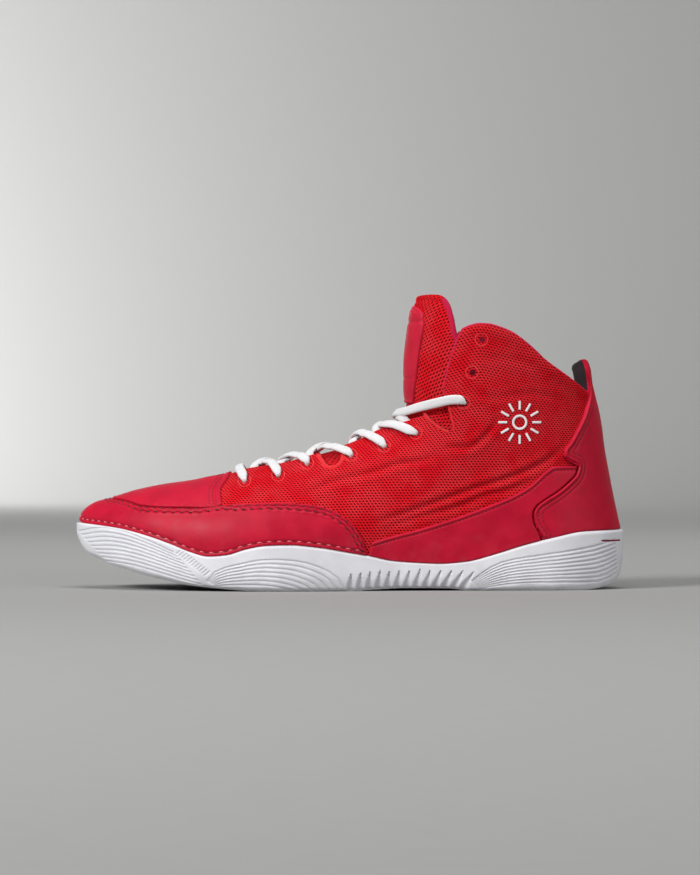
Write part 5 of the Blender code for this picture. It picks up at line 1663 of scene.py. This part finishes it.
def perforations(patch, height):
    """Small dark ovals on the counter below the tab: painted shade where its pin holes are."""
    heap = Heap()
    steps = np.array((-0.30, -0.1, 0.1, 0.30))[:, None] * MM
    section = np.array((0.3, 1.0, 1.0, 0.3))[:, None, None] * oval(8, *PIN_OVAL, 1.0)
    for side in SIDES:
        points, normals = patch.at(side, height), patch.bases[side][1]
        flat, facing = points.reshape(-1, 3), normals.reshape(-1, 3)
        for k in range(PIN_HOLES):
            row, column = divmod(k, PIN_COLUMNS)
            along = PIN_START[0] + PIN_STEP[0] * column + 0.002 * math.sin(k * 2.4) - 0.0012 * row
            up = PIN_START[1] + PIN_STEP[1] * row + 0.004 * math.cos(k * 1.7)
            x, z = side_view([(along, up)])[0]
            i = np.hypot(flat[:, 0] - x, flat[:, 2] - z).argmin()
            across = unit(np.cross(facing[i], (0.0, 0.0, 1.0)))
            line = flat[i] + steps * across - facing[i] * 0.04 * MM
            heap.add(*swept(line, *frames_along(line, np.broadcast_to(facing[i], (4, 3))), section))
    ride(heap.piece("counter_pin_hole_shade", [FINISH["thread"]]), "smooth")


def make_tab_lining():
    front = path_through(side_view(COUNTER_FRONT))
    low, high = (share * COLLAR_HEIGHT for share in (TAB_LINING_UP[0] - 0.014, TAB_LINING_UP[1] + 0.014))
    left = front[(front[:, 1] >= low) & (front[:, 1] <= high)] + (LINING_SET_BACK, 0.0)
    right = heel_line(left[0, 1], left[-1, 1], 12)
    bottom = np.array((left[0], right[0]))
    top = np.array((left[-1], right[-1]))
    grid = coons(bottom, right, top, left, 1 - (1 - np.linspace(0, 1, 30)) ** 2, np.linspace(0.0, 1.0, 24))
    patch = Patch(grid, "last")
    base = patch.at(LATERAL, 0.0)
    away = distance_to(base, np.concatenate((base[::-1, 0], base[0], base[:, -1])))
    depth = TAB_LINING_THICKNESS + rounded(away, TAB_PADDING, 3 * MM)
    piece = shell_piece("tab_inside", patch.layer(0.0), patch.layer(-depth), [FINISH["tab"]])
    lay_cloth(piece)
    return ride(piece, "lining", "tab_lining")


# Tongue

def make_tongue():
    outer = -(UPPER_WALL + TONGUE_CLEARANCE)
    middle = outer - TONGUE_THICKNESS / 2
    start = ridge_index(TONGUE_START)
    stop = int(np.argmax(RIDGE_LINE[:, 1] >= TONGUE_TOP[0][1] * COLLAR_HEIGHT - 1e-6))
    left = RIDGE_LINE[start: stop + 1]
    right = path_through(side_view(TONGUE_EDGE))
    bottom = np.array((left[0], right[0]))
    top = path_through(side_view(TONGUE_TOP))
    top[0] = left[-1]
    right[-1] = top[-1]
    across = edged_shares(0.035, 1.1 * MM, low=False)
    upward = edged_shares(0.150, 1.2 * MM, low=False)
    grid = coons(bottom, right, top, left, across**1.4, upward)
    patch = Patch(grid, "first")
    base = patch.at(LATERAL, 0.0)
    border = np.concatenate((base[-1], base[::-1, -1]))
    away = distance_to(base, border)
    thick = rounded(away, TONGUE_THICKNESS / 2, 1.2 * MM)
    relief = 0.25 * MM * uneven(base, 12 * MM, 7.0) * ease(away, 0.0, 3 * MM)
    relief = relief - 0.35 * MM * bump(away, 3.3 * MM, 0.5 * MM)
    side_edge = patch.field(distance_to(base, base[-1])).reshape(-1)
    outer = patch.layer(middle + thick + relief)
    cloth = grid_cloth(outer, grid.shape[0] - 1)
    out_from_ridge = np.abs(cloth[..., 0]).reshape(-1)
    cloth[..., 1] -= 0.5 * np.abs(cloth[..., 0])

    def pick(kinds, middles, faces):
        corner = faces[:, 0] % side_edge.size
        trim = (side_edge[corner] < TONGUE_TRIM) & (middles[:, 2] > TRIM_FROM)
        over = middles[:, 2] - CAP_FROM
        cap = (over > 0) & (out_from_ridge[corner] < 8 * MM - over * 0.35)
        return np.where(trim, 1, np.where(cap & (kinds != 1), 2, np.where(kinds == 1, 3, 0)))

    piece = shell_piece("soft_tongue", outer, patch.layer(middle - thick + relief),
                        [FINISH["tongue knit"], FINISH["trim"], FINISH["cap"], FINISH["lining"]],
                        pick, cloth=cloth)
    return ride(piece, "mesh", "tongue")


def make_label():
    low = -(UPPER_WALL + TONGUE_CLEARANCE) + 0.1 * MM
    heights = RIDGE_LINE[:, 1] / COLLAR_HEIGHT
    start = int(np.argmax(heights >= LABEL_RIDGE[0]))
    stop = int(np.argmax(heights >= LABEL_RIDGE[1]))
    left = RIDGE_LINE[start: stop + 1]
    right = path_through(side_view(LABEL_EDGE))
    bottom = np.array((left[0], right[0]))
    top = np.array((left[-1], right[-1]))
    across = edged_shares(0.016, 0.7 * MM, low=False)
    grid = coons(bottom, right, top, left, across**1.4, edged_shares(0.053, 0.8 * MM))
    patch = Patch(grid, "first")
    base = patch.at(LATERAL, 0.0)
    border = np.concatenate((base[:, 0], base[-1], base[::-1, -1]))
    away = distance_to(base, border)
    from_top = distance_to(base, base[:, -1])
    height = rounded(away, LABEL_CLEARANCE + LABEL_THICKNESS, 1.0 * MM)
    height = low + height * ease(from_top, -3 * MM, 4 * MM)
    height -= 0.35 * MM * bump(away, 1.9 * MM, 0.35 * MM)
    height -= 0.45 * MM * bump(base[..., 2], 0.795 * COLLAR_HEIGHT, 0.45 * MM)
    height -= 0.50 * MM * bump(base[..., 2], 1.010 * COLLAR_HEIGHT, 1.2 * MM)
    piece = shell_piece("label_patch", patch.layer(height), patch.layer(low), [FINISH["label"]])
    return ride(piece, "smooth", "tongue_label")


# Small things

def make_threads():
    ride(THREADS["dark"].piece("dark_stitching", [FINISH["thread"]]), "smooth")
    ride(THREADS["pale"].piece("rim_stitching", [FINISH["pale thread"]]), "smooth")


def make_ankle_print():
    """A plain ring of dashes round a small circle, printed on each side of the ankle."""
    heap = Heap()
    for side in SIDES:
        for k in range(PRINT_DASHES):
            angle = 2 * math.pi * k / PRINT_DASHES
            ray = np.array((math.cos(angle), math.sin(angle)))
            line = side_view([PRINT_PLACE])[0] + np.linspace(*PRINT_RADII, 8)[:, None] * MM * ray
            points, normals = on_last(line, side, PRINT_LIFT)
            heap.add(*swept(points, *frames_along(points, normals), oval(*PRINT_LINE)))
        points, normals = on_last(eyelet_circle(PRINT_PLACE, PRINT_CIRCLE, 48), side, PRINT_LIFT)
        frames = frames_along(points, normals, loop=True)
        heap.add(*swept(points, *frames, oval(*PRINT_LINE), loop=True))
    return ride(heap.piece("ankle_print", [FINISH["print"]]), "mesh")


def make_heel_inlay():
    """A thin crimson strip in the slit at the heel of the sole."""
    heap = Heap()
    line = evenly(side_view(SLIT), 0.8 * MM)
    centre, half = sole_edge(line[:, 0])
    ups = (line[:, 1] - underside(line[:, 0])) / (rim(line[:, 0]) - underside(line[:, 0]))
    inward = from_table(WALL_TUCK, ups) * np.minimum(SOLE_TUCK, half * 0.35)
    for side in SIDES:
        points = np.column_stack((line[:, 0], centre + side * (half - inward), line[:, 1]))
        tangents = unit(np.gradient(points, axis=0))
        out = unit(np.cross(tangents, (0.0, 0.0, 1.0)) * -side)
        out = out * np.sign((out[:, 1] * side))[:, None]
        points = points - out * 0.45 * MM
        heap.add(*swept(points, *frames_along(points, out), oval(8, 0.40 * MM, 0.30 * MM)))
    return ride(heap.piece("heel_inlay", [FINISH["foam"]]), "rubber")


# Lace

def surface_station(x, z, side, offset, width, thick, on_ridge=False):
    patch = Patch(np.array([[[x, z]]]), on_ridge=np.array([[on_ridge]]))
    return (patch.at(side, offset)[0, 0], patch.bases[side][1][0, 0], width, thick)


def crown_place(x, reach):
    """Height in the side view where the last is a half-width wide."""
    low, high = 0.0, BALL_WIDTH / 3
    top = float(ridge_height(x))
    for _ in range(26):
        middle = (low + high) / 2
        _, squared = last_section(x, top - middle)
        if float(squared) < reach**2:
            low = middle
        else:
            high = middle
    return top - (low + high) / 2


THROAT_PATH = path_through(side_view(THROAT_EDGE))


def edge_height(x):
    return float(np.interp(x, THROAT_PATH[:, 0], THROAT_PATH[:, 1]))


def throat_half_width(x):
    _, squared = last_section(x, edge_height(x))
    return math.sqrt(max(float(squared), 0.0))


def through_eyelet(row, side):
    """Stations up through an eyelet, where the lace folds narrow."""
    x, z = side_view([EYELETS[row]])[0]
    return [surface_station(x, z, side, *station) for station in EYELET_STATIONS]


def down_the_side(row, side, forward, shares):
    x, z = side_view([EYELETS[row]])[0]
    edge_z = edge_height(x - forward)
    stations = []
    for share in shares:
        place = (x - forward * share**1.5, z + (edge_z - z) * share)
        lift = LACE_LIFT + 0.35 * MM * share
        stations.append(surface_station(*place, side, lift, LACE_SPAN, LACE_BODY))
    return stations


def crown_stations(places, side, over):
    """Stations over the throat; one lace passes over the other at its middle."""
    stations = []
    for x, reach, offset, thick in places:
        width = throat_half_width(x)
        facing = side if reach >= 0 else -side
        z = crown_place(x, abs(reach) * width)
        apart = 1.15 * MM * math.exp(-((reach / 0.5) ** 2)) * (1 if over else -1)
        on_ridge = abs(reach * width) < 1e-5
        stations.append(surface_station(x, z, facing, offset + apart, LACE_SPAN, thick, on_ridge))
    return stations


def crossing(row, side, over):
    """From an eyelet up, over the near edge, across, and under the far edge one row lower."""
    start_x = side_view([EYELETS[row]])[0][0]
    pitch = start_x - side_view([EYELETS[row - 1]])[0][0]
    forward = pitch * LACE_NEAR_EDGE[row]
    edge_x = start_x - forward
    end_x = start_x - pitch * LACE_END[row]
    stations = through_eyelet(row, side) + down_the_side(row, side, forward, (0.3, 0.6, 0.9))
    places = []
    for t in (0.0, 0.25, 0.5, 0.75, 1.0):
        offset = LACE_LIFT + (-0.9 * MM - LACE_LIFT) * float(ease(t, 0.1, 1.0))
        reach = NEAR_REACH * (1 - t) - FAR_REACH * t
        places.append((edge_x + (end_x - edge_x) * t, reach, offset, LACE_BODY))
    places.append((end_x - pitch * 0.04, -0.90, UNDER_FLAP + 0.35 * MM, 1.1 * MM))
    places.append((end_x - pitch * 0.08, -1.15, UNDER_FLAP, FLAT))
    return stations + crown_stations(places, side, over)


def charted_crossing(row, table, side, over):
    """A lace that turns the corner of the ankle, from a table of places."""
    stations = through_eyelet(row, side)
    for along, up, across, share in table[1:]:
        x, z = side_view([(along, up)])[0]
        on_ridge = across == 0
        if on_ridge:
            x, z = RIDGE_LINE[np.linalg.norm(RIDGE_LINE - (x, z), axis=1).argmin()]
        facing = side if across >= 0 else -side
        height = -UPPER_WALL / 2 + (LACE_LIFT + UPPER_WALL / 2) * share
        near_middle = 1.0 if on_ridge else 0.45 if share < 0.4 else 0.0
        height += 1.05 * MM * near_middle * (1 if over else -1)
        stations.append(surface_station(x, z, facing, height, LACE_SPAN, LACE_BODY, on_ridge))
    x, z = side_view([EYELETS[row - 1]])[0]
    end = stations[-1][0]
    x, z = (x + end[0]) / 2, (z + end[2]) / 2
    stations.append(surface_station(x, z, -side, UNDER_FLAP, 4.4 * MM, FLAT))
    return stations


def strand(first_side):
    """Stations from the top laced eyelet down to the lowest crossing, side by side in turn."""
    charts = {LACED_ROWS - 2: INSTEP_LACE, LACED_ROWS - 1: ANKLE_LACE}
    stations = []
    side = first_side
    for row in range(LACED_ROWS - 1, 0, -1):
        over = (side == LATERAL) != (row % 2 == 1)
        if row in charts:
            stations += charted_crossing(row, charts[row], side, over)
        else:
            stations += crossing(row, side, over)
        side = -side
    return stations


def lace_bar():
    x = side_view([EYELETS[0]])[0][0]
    stations = through_eyelet(0, LATERAL) + down_the_side(0, LATERAL, BAR_LEAN, (0.3, 0.65, 0.9))
    x -= BAR_LEAN
    width = throat_half_width(x)
    for reach in (-0.8, -0.4, 0.0, 0.4, 0.8):
        z = crown_place(x, abs(reach) * width)
        side = LATERAL if reach < 0 else MEDIAL
        lift = LACE_LIFT + 0.2 * MM
        stations.append(surface_station(x, z, side, lift, LACE_SPAN, LACE_BODY, reach == 0.0))
    stations += down_the_side(0, MEDIAL, BAR_LEAN, (0.9, 0.65, 0.3)) + through_eyelet(0, MEDIAL)[::-1]
    return stations


def curve_through(points, spans):
    """A smooth curve through the points, and the share of each span at its own points."""
    padded = np.concatenate((2 * points[:1] - points[1:2], points, 2 * points[-1:] - points[-2:-1]))
    found, at = [], []
    for i in range(len(points) - 1):
        a, b, c, d = padded[i:i + 4]
        start = (c - a) / 2
        end = (d - b) / 2
        reach = np.linalg.norm(c - b)
        start *= min(1.0, reach / max(np.linalg.norm(start), 1e-9))
        end *= min(1.0, reach / max(np.linalg.norm(end), 1e-9))
        for k in range(spans):
            t = k / spans
            found.append((2 * t**3 - 3 * t**2 + 1) * b + (t**3 - 2 * t**2 + t) * start
                         + (3 * t**2 - 2 * t**3) * c + (t**3 - t**2) * end)
            at.append(i + t)
    return np.array(found + [points[-1]]), np.array(at + [len(points) - 1])


def make_lace():
    """One flat lace, from under one top eyelet down to the bar and up to the other."""
    stations = strand(LATERAL) + lace_bar() + strand(MEDIAL)[::-1]
    points = np.array([station[0] for station in stations])
    normals = np.array([station[1] for station in stations])
    sizes = np.array([station[2:] for station in stations])
    path, at = curve_through(points, 8)
    for _ in range(3):
        path[1:-1] = path[1:-1] * 0.5 + (path[:-2] + path[2:]) * 0.25
    numbers = np.arange(len(points))
    facing = between(at, numbers, normals)
    width, thick = between(at, numbers, sizes).T
    tangents = unit(np.gradient(path, axis=0))
    steep = np.abs((tangents * unit(facing)).sum(-1))
    sides = unit(np.cross(tangents, facing))
    steady = sides[0]
    for i in range(len(sides)):
        side = sides[i] if sides[i] @ steady >= 0 else -sides[i]
        keep = float(ease(steep[i], 0.45, 0.8))
        side = side * (1 - keep) + steady * keep
        side = side - tangents[i] * (side @ tangents[i])
        steady = side / max(np.linalg.norm(side), 1e-9)
        sides[i] = steady
    lifts = np.cross(sides, tangents)
    section = oval(LACE_AROUND, 1.0, 1.0, 0.62)
    sections = section * np.stack((width / 2, thick / 2), axis=-1)[:, None]
    mesh_points, faces = swept(path, sides, lifts, sections)
    cloth = np.zeros((len(path), LACE_AROUND, 3))
    cloth[..., 0] = sections[..., 0]
    cloth[..., 1] = travelled_on(path)[:, None]
    piece = make_piece("long_lace", mesh_points, faces, [FINISH["lace"]], weld=0)
    set_vectors(piece.data, "cloth", cloth.reshape(-1, 3))
    return ride(piece, "lace", *[f"lace_{i + 1}" for i in range(LACED_ROWS)])


# Stage

def add_light(name, place, target, size, power):
    data = bpy.data.lights.new(name, "AREA")
    data.shape = "DISK"
    data.size = size
    data.energy = power
    light = bpy.data.objects.new(name, data)
    light.visible_camera = False
    light.location = place
    light.rotation_euler = (Vector(target) - Vector(place)).to_track_quat("-Z", "Y").to_euler()
    bpy.context.scene.collection.objects.link(light)


def make_stage():
    """A pale round floor that curves up into a wall, soft light and the camera."""
    bend = np.linspace(0.0, math.pi / 2, 14)[1:]
    profile = [(r, 0.0) for r in (0.0, 0.6, 1.4, ROOM_RADIUS)]
    profile += [(ROOM_RADIUS + ROOM_BEND * math.sin(a), ROOM_BEND * (1 - math.cos(a))) for a in bend]
    profile = np.array(profile + [(ROOM_RADIUS + ROOM_BEND, ROOM_HEIGHT)])
    turns = np.linspace(0.0, 2 * math.pi, 96, endpoint=False)
    points = np.stack((
        np.cos(turns)[:, None] * profile[:, 0], np.sin(turns)[:, None] * profile[:, 0],
        np.broadcast_to(profile[:, 1], (len(turns), len(profile))),
    ), axis=-1)
    numbers = np.arange(len(turns) * len(profile)).reshape(len(turns), len(profile))
    faces = quads_of(np.concatenate((numbers, numbers[:1])))
    material, shader, w, place = new_finish("pale_paper", 0.9, 0.1)
    depth = w.split(place)[1]
    tone = w.place(GROUPS["grain"], Place=place, Scale=40.0)
    # The paper is painted darker near the front and lighter towards the back and up the wall: painted
    # shade and painted light
    near = w.mix(tone["Tone"], (0.29, 0.29, 0.285, 1.0), (0.305, 0.305, 0.30, 1.0))
    far = (0.49, 0.49, 0.48, 1.0)
    w.put(shader.inputs["Base Color"], w.mix(w.step(depth, *FLOOR_TO_WALL), near, far))
    room = make_piece("room", points.reshape(-1, 3), faces, [material])
    room.data.flip_normals()
    world = bpy.data.worlds.new("soft_room")
    world.use_nodes = True
    sky = world.node_tree.nodes["Background"].inputs
    sky["Color"].default_value = (0.95, 0.97, 1.0, 1.0)
    sky["Strength"].default_value = 0.42
    bpy.context.scene.world = world
    bpy.context.scene.view_settings.view_transform = "Standard"
    for light in LIGHTS:
        add_light(*light)
    data = bpy.data.cameras.new("photo_view")
    data.lens = CAMERA_LENS
    data.sensor_width = 36.0
    data.dof.use_dof = False
    data.clip_start = 0.05
    data.clip_end = 30.0
    camera = bpy.data.objects.new("photo_view", data)
    camera.location = CAMERA_PLACE
    camera.rotation_euler = (math.pi / 2, 0.0, 0.0)
    bpy.context.scene.collection.objects.link(camera)
    bpy.context.scene.camera = camera


def main():
    make_groups()
    make_finishes()
    THREADS.update(dark=Heap(), pale=Heap())
    make_sole()
    make_heel_inlay()
    make_insole()
    make_upper()
    make_notch_bindings()
    make_eyelet_rings()
    make_tongue()
    make_label()
    make_rand()
    make_vamp()
    make_quarter_panel("quarter_cover_lateral", LATERAL, "quarter_panel_lateral")
    make_quarter_panel("quarter_cover_medial", MEDIAL, "quarter_panel_medial")
    make_counter()
    make_tab_lining()
    make_threads()
    make_ankle_print()
    make_lace()
    make_stage()


main()
